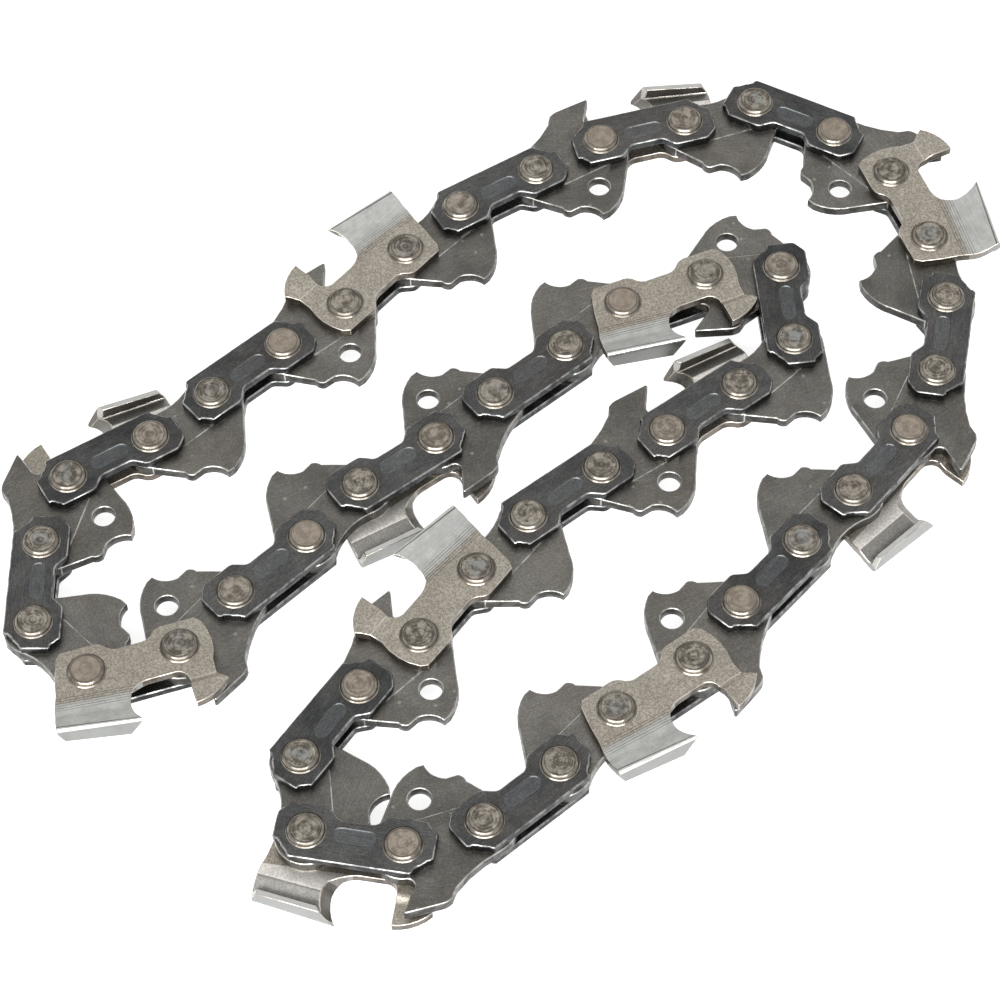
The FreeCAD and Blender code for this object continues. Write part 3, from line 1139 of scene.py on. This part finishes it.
@dataclass
class DriveLink:
    """A drive link: two eyes, a hooked tang, and a bumper or a plain valley.

    Its hole is given as the place of its middle and its radius. One link has
    a wider rear eye, where the row of joints is opened.
    """

    half_pitch: float = DRIVE_PITCH / 2
    bore_radius: float = 2.35
    open_bore_radius: float = 2.55
    bore_steps: int = 32
    hole_steps: int = 28
    half_thickness: float = 0.715
    half_gauge: float = 0.635
    shoulder: float = -2.75
    shoulder_run: float = 0.12
    rim: float = 0.13
    hole: tuple[float, float, float] = (1.10, -5.05, 1.22)
    tang: tuple[Stroke, ...] = (
        Stroke((-4.092, -5.536)),
        Stroke((-3.480, -6.520), via=(-3.933, -6.119)),
        Stroke((-2.200, -6.520)),
        Stroke((-0.500, -8.750), via=(-1.012, -7.377)),
        Stroke((0.350, -8.750)),
        Stroke((3.900, -6.100), via=(2.388, -7.777)),
        Stroke((6.945, -2.062)),
    )
    valley: tuple[Stroke, ...] = (
        Stroke((2.600, 2.884), via=(6.822, 2.211)),
        Stroke((-2.600, 2.884), via=(0.000, 2.400)),
        Stroke((-7.015, -1.969), via=(-6.783, 2.254)),
    )
    bumper: tuple[Stroke, ...] = (
        Stroke((5.115, 3.250), via=(7.472, 1.091)),
        Stroke((4.550, 4.400), via=(4.483, 3.653)),
        Stroke((6.210, 6.510)),
        Stroke((6.120, 6.870), via=(6.295, 6.722)),
        Stroke((2.300, 7.050)),
        Stroke((1.250, 6.750), via=(1.755, 6.970)),
        Stroke((0.513, 5.799)),
        Stroke((-4.887, 3.299), via=(-2.057, 4.269)),
        Stroke((-7.015, -1.969), via=(-7.411, 1.255)),
    )

    def mesh(self, bumper: bool, open_eye: bool = False) -> bpy.types.Mesh:
        """Builds the link in its own frame.

        Args:
            bumper: Whether it has a bumper and a hole in its tang.
            open_eye: Whether its rear eye is the one where the row is opened.

        Returns:
            The mesh.
        """
        bm = bmesh.new()
        edges = trace(bm, self.tang + (self.bumper if bumper else self.valley))
        rear = self.open_bore_radius if open_eye else self.bore_radius
        edges += ring(bm, -self.half_pitch, 0, self.bore_radius, self.bore_steps)
        edges += ring(bm, self.half_pitch, 0, rear, self.bore_steps)
        if bumper:
            edges += ring(bm, *self.hole, self.hole_steps)
        bmesh.ops.triangle_fill(bm, use_beauty=True, edges=edges, normal=(0, 0, 1))
        thicken(bm, -self.half_thickness, self.half_thickness, self.rim)
        self.step_tang(bm)
        return finished_mesh(bm, "drive_link")

    def step_tang(self, bm: BMesh) -> None:
        """Thins the tang to its gauge below a slanted step.

        Args:
            bm: The link at its full thickness.
        """
        foot = self.shoulder - self.shoulder_run
        for y in (self.shoulder, foot):
            geom = bm.verts[:] + bm.edges[:] + bm.faces[:]
            bmesh.ops.bisect_plane(bm, geom=geom, plane_co=(0, y, 0), plane_no=(0, 1, 0), dist=WELD)
        thin = [v for v in bm.verts if v.co.y < self.shoulder - self.shoulder_run / 2]
        bmesh.ops.scale(bm, verts=thin, vec=(1, 1, self.half_gauge / self.half_thickness))
        # The step takes the rim finish: a painted highlight line along it.
        for face in bm.faces:
            if foot < face.calc_center_median().y < self.shoulder:
                face.material_index = Slot.RIM


@dataclass
class TieStrap:
    """A tie strap: chamfered ends, two feet beside a waist and a pressed recess.

    Corners between sides longer than shortest_side are rounded. The shorter
    sides are those of the ticks.
    """

    inner: float = PLATE_INNER
    outer: float = PLATE_OUTER
    rim: float = 0.15
    corner: float = 0.32
    corner_steps: int = 3
    shortest_side: float = 0.6
    recess_half: float = 1.45
    recess_radius: float = 0.92
    recess_land: float = 0.02
    recess_slope: float = 0.09
    recess_depth: float = 0.10
    recess_steps: int = 8
    outline: tuple[Stroke, ...] = (
        Stroke((1.85, -1.75)),
        Stroke((3.15, -3.0)),
        Stroke((7.005, -3.0)),
        Stroke((8.305, -1.83)),
        Stroke((8.305, 1.05)),
        *ticked((8.305, 1.05), (6.205, 3.15), 0.17),
        Stroke((-6.205, 3.15)),
        *ticked((-6.205, 3.15), (-8.305, 1.05), 0.17),
        Stroke((-8.305, -1.83)),
        *ticked((-8.305, -1.83), (-7.005, -3.0), 0.15),
        Stroke((-3.15, -3.0)),
        Stroke((-1.85, -1.75)),
    )

    def mesh(self, side: Side) -> bpy.types.Mesh:
        """Builds the strap in the link's frame.

        Args:
            side: The side of the chain that it is on.

        Returns:
            The mesh.
        """
        bm = bmesh.new()
        edges = trace(bm, self.outline)
        bmesh.ops.contextual_create(bm, geom=edges)
        corners = [v for v in bm.verts if min(e.calc_length() for e in v.link_edges) > self.shortest_side]
        bmesh.ops.bevel(
            bm,
            geom=corners,
            affect="VERTICES",
            offset=self.corner,
            segments=self.corner_steps,
            profile=0.5,
            material=-1,
            clamp_overlap=True,
        )
        bmesh.ops.delete(bm, geom=bm.faces[:], context="FACES_ONLY")
        edges = bm.edges[:]
        slot = capsule(bm, self.recess_half, self.recess_radius, self.recess_steps)
        bmesh.ops.triangle_fill(bm, use_beauty=True, edges=edges + slot, normal=(0, 0, 1))
        for face in bmesh.ops.contextual_create(bm, geom=slot)["faces"]:
            face.material_index = RECESS
        thicken(bm, self.inner, self.outer, self.rim)
        pressed = [f for f in bm.faces if f.material_index == RECESS and is_level(f) and f.normal.z > 0]
        for thickness, depth in ((self.recess_land, 0.0), (self.recess_slope, -self.recess_depth)):
            bmesh.ops.inset_region(bm, faces=pressed, thickness=thickness, depth=depth, use_boundary=True)
        if side is Side.LOWER:
            bmesh.ops.scale(bm, verts=bm.verts[:], vec=(1, 1, -1))
        return finished_mesh(bm, "tie_strap")


@dataclass
class Rivet:
    """A rivet: a thick hub, two shanks and two clenched heads.

    Its profile is the radius and the height at each turn, from the middle of
    its face to the rim of its hub.
    """

    steps: int = 40
    profile: tuple[tuple[float, float], ...] = (
        (0.0, 2.31),
        (0.7, 2.325),
        (1.25, 2.345),
        (1.54, 2.345),
        (1.60, 2.32),
        (1.65, 2.335),
        (1.71, 2.315),
        (1.78, 2.26),
        (1.93, 2.11),
        (1.965, 2.03),
        (1.975, 1.95),
        (2.02, 1.905),
        (2.07, 1.875),
        (2.12, 1.81),
        (1.75, 1.80),
        (1.75, PLATE_INNER),
        (2.30, 0.75),
    )
    face_radius: float = 1.63
    under_head: float = 1.80
    crease: float = 50.0

    def mesh(self, x: float) -> bpy.types.Mesh:
        """Builds the rivet round its own middle, then moves it along the travel.

        Args:
            x: The place of its middle along the travel.

        Returns:
            The mesh.
        """
        bm = bmesh.new()
        tip = bm.verts.new((self.profile[0][0], 0, self.profile[0][1]))
        line = [tip]
        lower = tuple((r, -z) for r, z in reversed(self.profile))
        for radius, z in self.profile[1:] + lower:
            tip = bmesh.ops.extrude_vert_indiv(bm, verts=[tip])["verts"][0]
            tip.co = (radius, 0, z)
            line.append(tip)
        bmesh.ops.spin(
            bm,
            geom=line + bm.edges[:],
            cent=(0, 0, 0),
            axis=(0, 0, 1),
            angle=math.tau,
            steps=self.steps,
            use_merge=True,
            use_duplicate=False,
        )
        bmesh.ops.remove_doubles(bm, verts=bm.verts[:], dist=WELD)
        for face in bm.faces:
            middle = face.calc_center_median()
            if abs(middle.z) < self.under_head:
                face.material_index = Slot.WALL
            elif middle.xy.length > self.face_radius:
                face.material_index = Slot.RIM
        mesh = finished_mesh(bm, "rivet", self.crease)
        mesh.transform(Matrix.Translation((x, 0, 0)))
        return mesh


@dataclass
class Cutter:
    """A cutter: side plate, depth gauge and a flared tooth with its top plate.

    Everything behind split belongs to the tooth. Its fold runs from the tip
    to the heel, and the facing of a face there is the angle in degrees that it
    has turned round the fold, from 0 on its top to 90 on the outside. The bands
    give the facing that each finish of the fold reaches up to: a broad band of
    painted highlight over the fold, and a thin band of painted shade where it
    meets the flare. A lean is how much of a face's unit normal lies along an
    axis where the finish changes.
    """

    inner: float = PLATE_INNER
    outer: float = PLATE_OUTER
    flare: float = 0.476
    bend_front: float = 5.40
    bend_slope: float = 0.125
    flare_round: float = 0.30
    gauge_bend: Span = (4.20, 5.30)
    gauge_set: float = 0.50
    gauge_lean: float = 0.06
    split: float = -2.0
    tooth_foot: float = 3.05
    front_width: float = 2.95
    rear_width: float = 2.50
    plate_thickness: float = 0.65
    front_slant: float = 1.75
    rear_slant: float = 0.60
    cutting_bevel: float = 0.45
    gullet_bevel: float = 1.10
    tip_bevel: float = 0.60
    gullet_foot: float = 3.0
    gullet_run: float = 1.2
    gullet_reach: float = 1.7
    fold_round: float = 0.70
    fold_steps: int = 6
    corner_round: float = 0.30
    corner_steps: int = 3
    edge_round: float = 0.085
    edge_steps: int = 2
    clear_of_plane: float = 0.4
    edge_angle: float = 38.0
    outline_step: float = 12.0
    crease: float = 28.0
    fold_from: float = 8.0
    fold_bands: tuple[tuple[float, Slot], ...] = (
        (18.0, Slot.TOP),
        (78.0, Slot.FOLD),
        (98.0, Slot.SKIN),
        (112.0, Slot.PAINTED_SHADE),
    )
    ground_lean: float = 0.35
    wall_lean: float = 0.3
    inside_lean: float = 0.5
    free_height: float = 0.5
    top_facing: float = 30.0
    corner_facing: Span = (-165.0, -125.0)
    under_facing: float = 150.0
    tip: Point = (0.45, 8.125)
    heel: Point = (9.60, 6.68)
    outline: tuple[Stroke, ...] = (
        Stroke((-7.305, -3.0)),
        Stroke((-3.60, -3.0)),
        Stroke((-2.50, -2.375), via=(-2.981, -2.797)),
        Stroke((-1.40, -1.75), via=(-2.019, -1.953)),
        Stroke((1.40, -1.75)),
        Stroke((2.50, -2.375), via=(2.019, -1.953)),
        Stroke((3.60, -3.0), via=(2.981, -2.797)),
        Stroke((7.305, -3.0)),
        Stroke((7.855, -2.3)),
        Stroke((8.455, 0.0)),
        Stroke((8.805, 2.0)),
        Stroke(heel, via=(9.417, 4.365)),
        Stroke(tip),
        Stroke((0.695, 3.502), via=(1.473, 5.780)),
        Stroke((-0.80, 2.95), via=(-0.014, 3.122)),
        Stroke((-3.95, 2.95)),
        Stroke((-5.05, 4.503), via=(-4.827, 3.495)),
        Stroke((-5.05, 7.55)),
        Stroke((-9.0, 5.5), via=(-7.247, 6.952)),
        Stroke((-8.0, 4.2)),
        Stroke((-8.0, 2.6)),
        Stroke((-7.905, -2.4), via=(-8.458, 0.090)),
    )

    def __post_init__(self) -> None:
        """Works out the line of the fold."""
        self.fold_start = Vector((*self.tip, 0))
        self.fold_end = Vector((*self.heel, 0))
        self.along = (self.fold_end - self.fold_start).normalized()
        self.down = Vector((self.along.y, -self.along.x, 0))

    def depth(self, point: Vector) -> float:
        """How far a point lies below the line of the fold, seen along the rivets."""
        return (point - self.fold_start).dot(self.down)

    def above_bend(self, x: float, y: float) -> float:
        """How far a point of the tooth lies above the line where its flare starts."""
        return y - self.bend_front + self.bend_slope * (x - self.tip[0])

    def rise(self, x: float, y: float) -> float:
        """How far the bent plate stands out of its plane at a point.

        Args:
            x: The place along the travel.
            y: The height towards the cutting side.

        Returns:
            The distance outwards.
        """
        if x > self.split:
            over = self.above_bend(x, y)
            if over > self.flare_round:
                return self.flare * over
            return self.flare * max(0.0, over + self.flare_round) ** 2 / (4 * self.flare_round)
        low, high = self.gauge_bend
        if y <= high:
            return self.gauge_set * eased((y - low) / (high - low))
        return self.gauge_set + self.gauge_lean * (y - high)

    def mesh(self, side: Side) -> bpy.types.Mesh:
        """Builds the cutter in the link's frame.

        Args:
            side: The side of the chain that it is on.

        Returns:
            The mesh.
        """
        bm = bmesh.new()
        bmesh.ops.contextual_create(bm, geom=trace(bm, self.outline, self.outline_step))
        raise_sheet(bm, self.inner, self.outer)
        self.add_top_plate(bm)
        self.cut_bends(bm)
        raised = bm.verts.layers.float["raised"]
        for vert in bm.verts:
            vert.co.z += vert[raised] or self.rise(vert.co.x, vert.co.y)
        self.round_folds(bm)
        self.sort_faces(bm)
        if side is Side.LOWER:
            bmesh.ops.scale(bm, verts=bm.verts[:], vec=(1, 1, -1))
        return finished_mesh(bm, "cutter", self.crease)

    def cut_bends(self, bm: BMesh) -> None:
        """Cuts the side plate along its bends, so that it can bend there.

        Args:
            bm: The flat cutter.
        """
        turn = self.flare_round
        low, high = self.gauge_bend
        slant = Vector((self.bend_slope, 1, 0)).normalized()
        cuts = [(self.tip[0], self.bend_front + turn * share, slant) for share in (-1, -0.5, 0, 0.5, 1)]
        level = Vector((0, 1, 0))
        cuts.append((0, self.tooth_foot, level))
        cuts += [(0, low + (high - low) * share, level) for share in (0.0, 0.25, 0.5, 0.75, 1.0)]
        for x, y, normal in cuts:
            near = [f for f in bm.faces if min(v.co.z for v in f.verts) > self.inner - TOUCH]
            geom = in_turn(g for f in near for g in (*f.verts, *f.edges, f))
            bmesh.ops.bisect_plane(bm, geom=geom, plane_co=(x, y, 0), plane_no=normal, dist=WELD)

    def grind_gullet(self, face: BMFace) -> None:
        """Sets the inner edge of the gullet back, as the grinding wheel leaves it.

        Args:
            face: The inner face of the flat cutter.
        """
        for vert in face.verts:
            if (vert.co - self.fold_start).xy.length < TOUCH:
                vert.co += self.along * self.tip_bevel
            elif self.split < vert.co.x < self.gullet_reach and vert.co.y > self.gullet_foot:
                vert.co.x += self.gullet_bevel * eased((vert.co.y - self.gullet_foot) / self.gullet_run)

    def add_top_plate(self, bm: BMesh) -> None:
        """Draws the top plate out of the inner face, below the edge of the fold.

        Args:
            bm: The flat cutter.
        """
        raised = bm.verts.layers.float.new("raised")
        face = min(bm.faces, key=lambda f: f.normal.z)
        self.grind_gullet(face)
        cut = self.fold_start + self.down * self.plate_thickness
        geom = [face, *face.verts, *face.edges]
        bmesh.ops.bisect_plane(bm, geom=geom, plane_co=cut, plane_no=self.down, dist=WELD)
        bm.normal_update()
        inside = [f for f in bm.faces if is_level(f) and f.normal.z < 0 < f.calc_center_median().x]
        strips = [f for f in inside if self.depth(f.calc_center_median()) < self.plate_thickness]
        made = bmesh.ops.extrude_face_region(bm, geom=strips)
        bmesh.ops.delete(bm, geom=strips, context="FACES_ONLY")
        middle = (self.fold_start + self.fold_end) / 2
        for vert in (g for g in made["geom"] if isinstance(g, BMVert)):
            low = self.depth(vert.co) > self.plate_thickness / 2
            front = (vert.co - middle).dot(self.along) < 0
            if front:
                start, slant, width = self.fold_start, self.front_slant, self.front_width
                slant += self.cutting_bevel if low else 0.0
            else:
                start, slant, width = self.fold_end, -self.rear_slant, self.rear_width
            place = start + self.along * slant + self.down * (self.plate_thickness if low else 0.0)
            vert.co = (place.x, place.y, self.outer - width)
            vert[raised] = self.rise(start.x, start.y)

    def round_folds(self, bm: BMesh) -> None:
        """Rounds the fold of the tooth, outside and in its inner corner.

        Args:
            bm: The bent cutter.
        """
        rounds = (
            (0.0, self.outer + self.clear_of_plane, self.fold_round, self.fold_steps),
            (self.plate_thickness, self.inner + self.clear_of_plane, self.corner_round, self.corner_steps),
        )
        found = [self.edges_along(bm, depth, height) for depth, height, _, _ in rounds]
        for edges, (_, _, offset, segments) in zip(found, rounds):
            bmesh.ops.bevel(
                bm,
                geom=[e for e in edges if e.is_valid],
                affect="EDGES",
                offset=offset,
                offset_type="OFFSET",
                segments=segments,
                profile=0.5,
                material=-1,
                clamp_overlap=False,
            )
        bmesh.ops.remove_doubles(bm, verts=bm.verts[:], dist=FOLD_WELD)
        bmesh.ops.recalc_face_normals(bm, faces=bm.faces[:])

    def edges_along(self, bm: BMesh, depth: float, height: float) -> list[BMEdge]:
        """Finds the edges that run along the fold at one depth below it.

        Args:
            bm: The bent cutter.
            depth: The depth below the line of the fold.
            height: The distance from the middle plane that they lie beyond.

        Returns:
            The edges.
        """
        level = {v for v in bm.verts if abs(self.depth(v.co) - depth) < 2 * TOUCH and v.co.z > height}
        return [e for e in bm.edges if level.issuperset(e.verts)]

    def sort_faces(self, bm: BMesh) -> None:
        """Gives each face the slot of its finish.

        Args:
            bm: The cutter with its folds rounded.
        """
        for face in bm.faces:
            middle = face.calc_center_median()
            if middle.x > self.split and middle.y > self.tooth_foot:
                face.material_index = self.tooth_slot(middle, face.normal)
            elif face.normal.z < -self.inside_lean:
                face.material_index = Slot.INSIDE
            # Walls take the wall finish, which is painted shade.
            elif abs(face.normal.z) < self.wall_lean:
                face.material_index = Slot.WALL

    def tooth_slot(self, middle: Vector, normal: Vector) -> Slot:
        """Names the finish of one face of the tooth.

        Args:
            middle: The middle of the face.
            normal: Its normal.

        Returns:
            The slot.
        """
        depth = self.depth(middle)
        facing = math.degrees(math.atan2(normal.z, normal.dot(-self.down)))
        if normal.x < -self.ground_lean:
            at_edge = middle.z < self.inner + self.free_height and depth < self.plate_thickness
            return Slot.FREE if at_edge else Slot.GROUND
        # The fold's bands: painted highlight over the fold and painted shade beside the flare.
        if depth < self.fold_round and self.fold_from < facing < self.fold_bands[-1][0]:
            return next(slot for limit, slot in self.fold_bands if facing <= limit)
        if abs(facing) < self.top_facing:
            return Slot.TOP
        if normal.z < -LEVEL_LEAN and depth < self.plate_thickness:
            return Slot.FREE
        # The inner corner of the fold takes the fold's painted highlight too.
        below, above = self.corner_facing
        if depth < self.plate_thickness + self.corner_round and below < facing < above:
            return Slot.FOLD
        if facing < below or facing > self.under_facing:
            return Slot.UNDER
        # Inside the tooth: painted shade above the bend, painted light below it.
        if normal.z < -self.inside_lean:
            return Slot.FLARE if self.above_bend(middle.x, middle.y) > 0 else Slot.ROOT
        # Walls of the tooth take the wall finish, which is painted shade.
        return Slot.WALL if abs(normal.z) < self.wall_lean else Slot.SKIN


# The lay of the loop


@dataclass(frozen=True)
class Place:
    """Where one link of the loop lies, and the CAD nodes that it stands for."""

    index: int
    body: str
    nodes: tuple[str, ...]
    matrix: Matrix
    bumper: bool = False
    hand: Hand | None = None


def rivet_middles(joints: list[dict], strap_pitch: float, drive_pitch: float) -> list[Vector]:
    """Finds the middle of every rivet, in metres.

    The open rivet has no joint. It lies to the left of the line from the rivet
    before it to the rivet after it.

    Args:
        joints: The frame's joints, one for each rivet but the open one.
        strap_pitch: The distance between the rivets of a strap.
        drive_pitch: The distance between the rivets of a drive link.

    Returns:
        The middles in turn, rivet 1 first.
    """
    found = {int(j["name"].split("_")[1]): Vector(j["pos_m"]) for j in joints}
    before, after = found[OPEN_RIVET - 1], found[OPEN_RIVET + 1]
    span = after - before
    reach = span.length
    run = (drive_pitch**2 - strap_pitch**2 + reach**2) / (2 * reach)
    rise = math.sqrt(max(0.0, drive_pitch**2 - run**2))
    ahead = span.normalized()
    aside = Vector((-ahead.y, ahead.x, 0))
    found[OPEN_RIVET] = before + ahead * run + aside * rise
    return [found[i + 1] for i in range(LINKS)]


def link_places() -> list[Place]:
    """Works out the place of every link from the joints of the frame.

    Returns:
        The places in turn, a strap first.
    """
    middles = rivet_middles(frame["joints"], STRAP_PITCH * MM, DRIVE_PITCH * MM)
    groups = frame["record"]["behaviour"]["bodies"]
    count = {hand: 0 for hand in Hand}
    places = []
    for i in range(LINKS):
        start, end = middles[i], middles[(i + 1) % LINKS]
        heading = math.atan2(end.y - start.y, end.x - start.x)
        matrix = Matrix.Translation((start + end) / 2) @ Matrix.Rotation(heading, 4, "Z")
        matrix = matrix @ Matrix.Scale(MM, 4)
        number = i // 2 + 1
        hand = None
        if i % 2 == 1:
            body = f"drive_link_{number:02d}"
        else:
            hand = CYCLE[(number - 1) % len(CYCLE)]
            count[hand] += 1
            digits = 2 if hand is Hand.PLAIN else 1
            body = f"{hand.value}_{count[hand]:0{digits}d}"
        places.append(Place(i, body, tuple(groups[body]), matrix, number % 2 == 0, hand))
    return places


@dataclass
class ChainLoop:
    """The whole loop: its links and rivets, dressed and riding on their bodies."""

    finishes: Finishes
    half_strap: float = STRAP_PITCH / 2
    drive_link: DriveLink = field(default_factory=DriveLink)
    tie_strap: TieStrap = field(default_factory=TieStrap)
    rivet: Rivet = field(default_factory=Rivet)
    cutter: Cutter = field(default_factory=Cutter)

    def __post_init__(self) -> None:
        """Builds each kind of link once."""
        self.links = {bumper: self.drive_link.mesh(bumper) for bumper in (False, True)}
        self.open_link = self.drive_link.mesh(bumper=False, open_eye=True)
        self.straps = {side: self.tie_strap.mesh(side) for side in Side}
        self.cutters = {side: self.cutter.mesh(side) for side in Side}
        self.rivets = {x: self.rivet.mesh(x * self.half_strap) for x in (-1, 1)}

    def put(
        self,
        name: str,
        source: bpy.types.Mesh,
        place: Place,
        materials: tuple[bpy.types.Material, ...],
        nodes: tuple[str, ...],
        slot: str,
        tint: float,
    ) -> bpy.types.Object:
        """Copies a link to its place, dresses it and hangs it on its body.

        Args:
            name: The name of the piece.
            source: The mesh in the link's frame.
            place: The place of the link.
            materials: The finishes in the order of the mesh's slots.
            nodes: The CAD nodes that the piece stands for.
            slot: The record's material slot.
            tint: The piece's own tint, from 0 to 1.

        Returns:
            The piece.
        """
        mesh = source.copy()
        mesh.name = name
        mesh.transform(place.matrix)
        values = mesh.attributes.new(TINT_NAME, "FLOAT", "POINT")
        values.data.foreach_set("value", [tint] * len(mesh.vertices))
        for material in materials:
            mesh.materials.append(material)
        piece = bpy.data.objects.new(name, mesh)
        bpy.context.scene.collection.objects.link(piece)
        if slot == "cutter_steel":
            self.soften(piece)
        weighted = piece.modifiers.new("flat_faces", "WEIGHTED_NORMAL")
        weighted.keep_sharp = True
        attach(piece, place.body)
        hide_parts(*nodes)
        log.info("%s rides on %s", name, place.body)
        return piece

    def soften(self, piece: bpy.types.Object) -> None:
        """Rounds the sharp edges of a cutter and gives them the rim finish, partly real rubbed wear and
        partly painted highlight.

        Args:
            piece: The cutter.
        """
        rounded = piece.modifiers.new("edges_worn_and_highlit", "BEVEL")
        rounded.width = self.cutter.edge_round * MM
        rounded.segments = self.cutter.edge_steps
        rounded.limit_method = "ANGLE"
        rounded.angle_limit = math.radians(self.cutter.edge_angle)
        rounded.material = Slot.RIM
        rounded.use_clamp_overlap = False
        rounded.loop_slide = False

    def build(self, places: list[Place]) -> None:
        """Puts every link and rivet in its place.

        Args:
            places: The places of the links in turn.
        """
        for place in places:
            tint = (place.index * TINT_STEP) % 1.0
            if place.hand is None:
                look = self.finishes
                finish = (look.drive, look.drive_edge, look.drive_wall_painted_shade)
                mesh = self.open_link if place.body == OPEN_LINK else self.links[place.bumper]
                self.put(f"{place.body}_plate", mesh, place, finish, place.nodes, "link_steel", tint)
            else:
                self.build_riveted(place, tint)

    def build_riveted(self, place: Place, tint: float) -> None:
        """Puts the side plates and rivets of one strap link in their place.

        Args:
            place: The place of the link.
            tint: The link's own tint, from 0 to 1.
        """
        look = self.finishes
        strap = (look.strap, look.strap_edge, look.strap_wall_painted_shade, look.recess)
        tooth = (look.cutter_inside, look.top_plate, look.fold, look.fold_painted_shade)
        tooth += (look.tooth_root_painted_light, look.flare_inside_painted_shade, look.gullet, look.plate_under, look.free_edge)
        steel = (look.cutter, look.cutter_edge, look.cutter_wall_painted_shade, *tooth)
        rivet = (look.rivet, look.rivet_edge, look.rivet_hub)
        cutting = {Hand.LEFT: Side.LOWER, Hand.RIGHT: Side.UPPER}.get(place.hand)
        row = tuple(n for n in place.nodes if cutting is None or n.endswith("strap"))
        for side in Side:
            word = side.name.lower()
            if side is cutting:
                plate = tuple(n for n in place.nodes if n not in row)
                mesh = self.cutters[side]
                self.put(f"{place.body}_plate", mesh, place, steel, plate, "cutter_steel", tint)
            else:
                mesh = self.straps[side]
                self.put(f"{place.body}_{word}_strap", mesh, place, strap, row, "link_steel", tint)
        for x, word, shift in ((-1, "front", 0.0), (1, "rear", REAR_RIVET_TINT)):
            own = (tint + shift) % 1.0
            self.put(f"{place.body}_{word}_rivet", self.rivets[x], place, rivet, row, "link_steel", own)


# The studio


def seen_directly(tree: Tree) -> Socket:
    """Marks the rays by which a surface is seen, mirrored or looked through to.

    Args:
        tree: The tree of the material or the world.

    Returns:
        1 for such rays and 0 for others.
    """
    path = tree.node("LightPath")
    seen = tree.maths("MAXIMUM", path.outputs["Is Camera Ray"], path.outputs["Is Glossy Ray"])
    return tree.maths("MAXIMUM", seen, path.outputs["Is Transmission Ray"])


@dataclass
class Studio:
    """The floor, the light and the camera of the photograph."""

    target: tuple[float, float, float] = (-0.001835, -0.005275, 0.005055)
    distance: float = 0.3634
    elevation: float = 56.84
    roll: float = -3.12
    lens: float = 122.0
    sensor: float = 36.0
    floor_size: float = 3.0
    floor_shade: float = 0.8
    floor_glow: float = 0.78
    room_light: float = 0.55
    window_direction: tuple[float, float, float] = (-8.0, 35.0, 0.7)
    window_size: tuple[float, float] = (0.90, 0.34)
    window_power: float = 7.2

    def camera(self) -> None:
        """Places the camera at the photograph's angle."""
        data = bpy.data.cameras.new("photo_camera")
        data.lens = self.lens
        data.sensor_width = self.sensor
        data.clip_start, data.clip_end = 0.01, 10.0
        camera = bpy.data.objects.new("photo_camera", data)
        bpy.context.scene.collection.objects.link(camera)
        lift = math.radians(self.elevation)
        back = Vector((0, -math.cos(lift), math.sin(lift)))
        turn = (-back).to_track_quat("-Z", "Y").to_matrix().to_4x4()
        place = Matrix.Translation(Vector(self.target) + back * self.distance)
        camera.matrix_world = place @ turn @ Matrix.Rotation(math.radians(self.roll), 4, "Z")
        bpy.context.scene.camera = camera

    def floor(self) -> None:
        """Lays a plain pale floor that keeps the object's shadow."""
        bm = bmesh.new()
        bmesh.ops.create_grid(bm, x_segments=1, y_segments=1, size=self.floor_size)
        mesh = bpy.data.meshes.new("floor")
        bm.to_mesh(mesh)
        bm.free()
        mesh.materials.append(self.pale())
        floor = bpy.data.objects.new("floor", mesh)
        bpy.context.scene.collection.objects.link(floor)

    def pale(self) -> bpy.types.Material:
        """Builds the floor's paint, lifted to white where it is seen.

        Returns:
            The material.
        """
        material, tree, shader = surface("pale_floor", 0.0)
        shader.inputs["Base Color"].default_value = opaque((self.floor_shade,) * 3)
        shader.inputs["Roughness"].default_value = 0.9
        shader.inputs["Specular IOR Level"].default_value = 0.0
        glow = tree.node("Emission")
        tree.feed(glow.inputs["Strength"], tree.times(seen_directly(tree), self.floor_glow))
        both = tree.node("AddShader")
        tree.feed(both.inputs[0], shader.outputs[0])
        tree.feed(both.inputs[1], glow.outputs[0])
        tree.feed(material.node_tree.nodes["Material Output"].inputs["Surface"], both.outputs[0])
        return material

    def window(self) -> None:
        """Hangs a broad soft lamp at its azimuth, elevation and distance."""
        data = bpy.data.lights.new("front_window", "AREA")
        data.shape = "RECTANGLE"
        data.size, data.size_y = self.window_size
        data.energy = self.window_power
        lamp = bpy.data.objects.new("front_window", data)
        bpy.context.scene.collection.objects.link(lamp)
        azimuth, elevation, distance = self.window_direction
        turn, lift = math.radians(azimuth), math.radians(elevation)
        level = math.cos(lift)
        back = Vector((math.sin(turn) * level, -math.cos(turn) * level, math.sin(lift)))
        lamp.location = back * distance
        lamp.rotation_mode = "QUATERNION"
        lamp.rotation_quaternion = (-back).to_track_quat("-Z", "Y")

    def world(self) -> None:
        """Fills the room with plain soft light, white where it is seen."""
        world = bpy.data.worlds.new("studio")
        world.use_nodes = True
        bpy.context.scene.world = world
        tree = Tree(world.node_tree)
        background = world.node_tree.nodes["Background"]
        background.inputs["Color"].default_value = (1, 1, 1, 1)
        strength = tree.maths("MAXIMUM", seen_directly(tree), self.room_light)
        tree.feed(background.inputs["Strength"], strength)

    def build(self) -> None:
        """Sets up the whole studio."""
        bpy.context.scene.view_settings.view_transform = "Standard"
        self.camera()
        self.floor()
        self.world()
        self.window()


def main() -> None:
    """Builds the loop and the studio."""
    logging.basicConfig(level=logging.INFO, format="%(name)s: %(message)s")
    ChainLoop(make_finishes()).build(link_places())
    Studio().build()


if __name__ == "__main__":
    main()
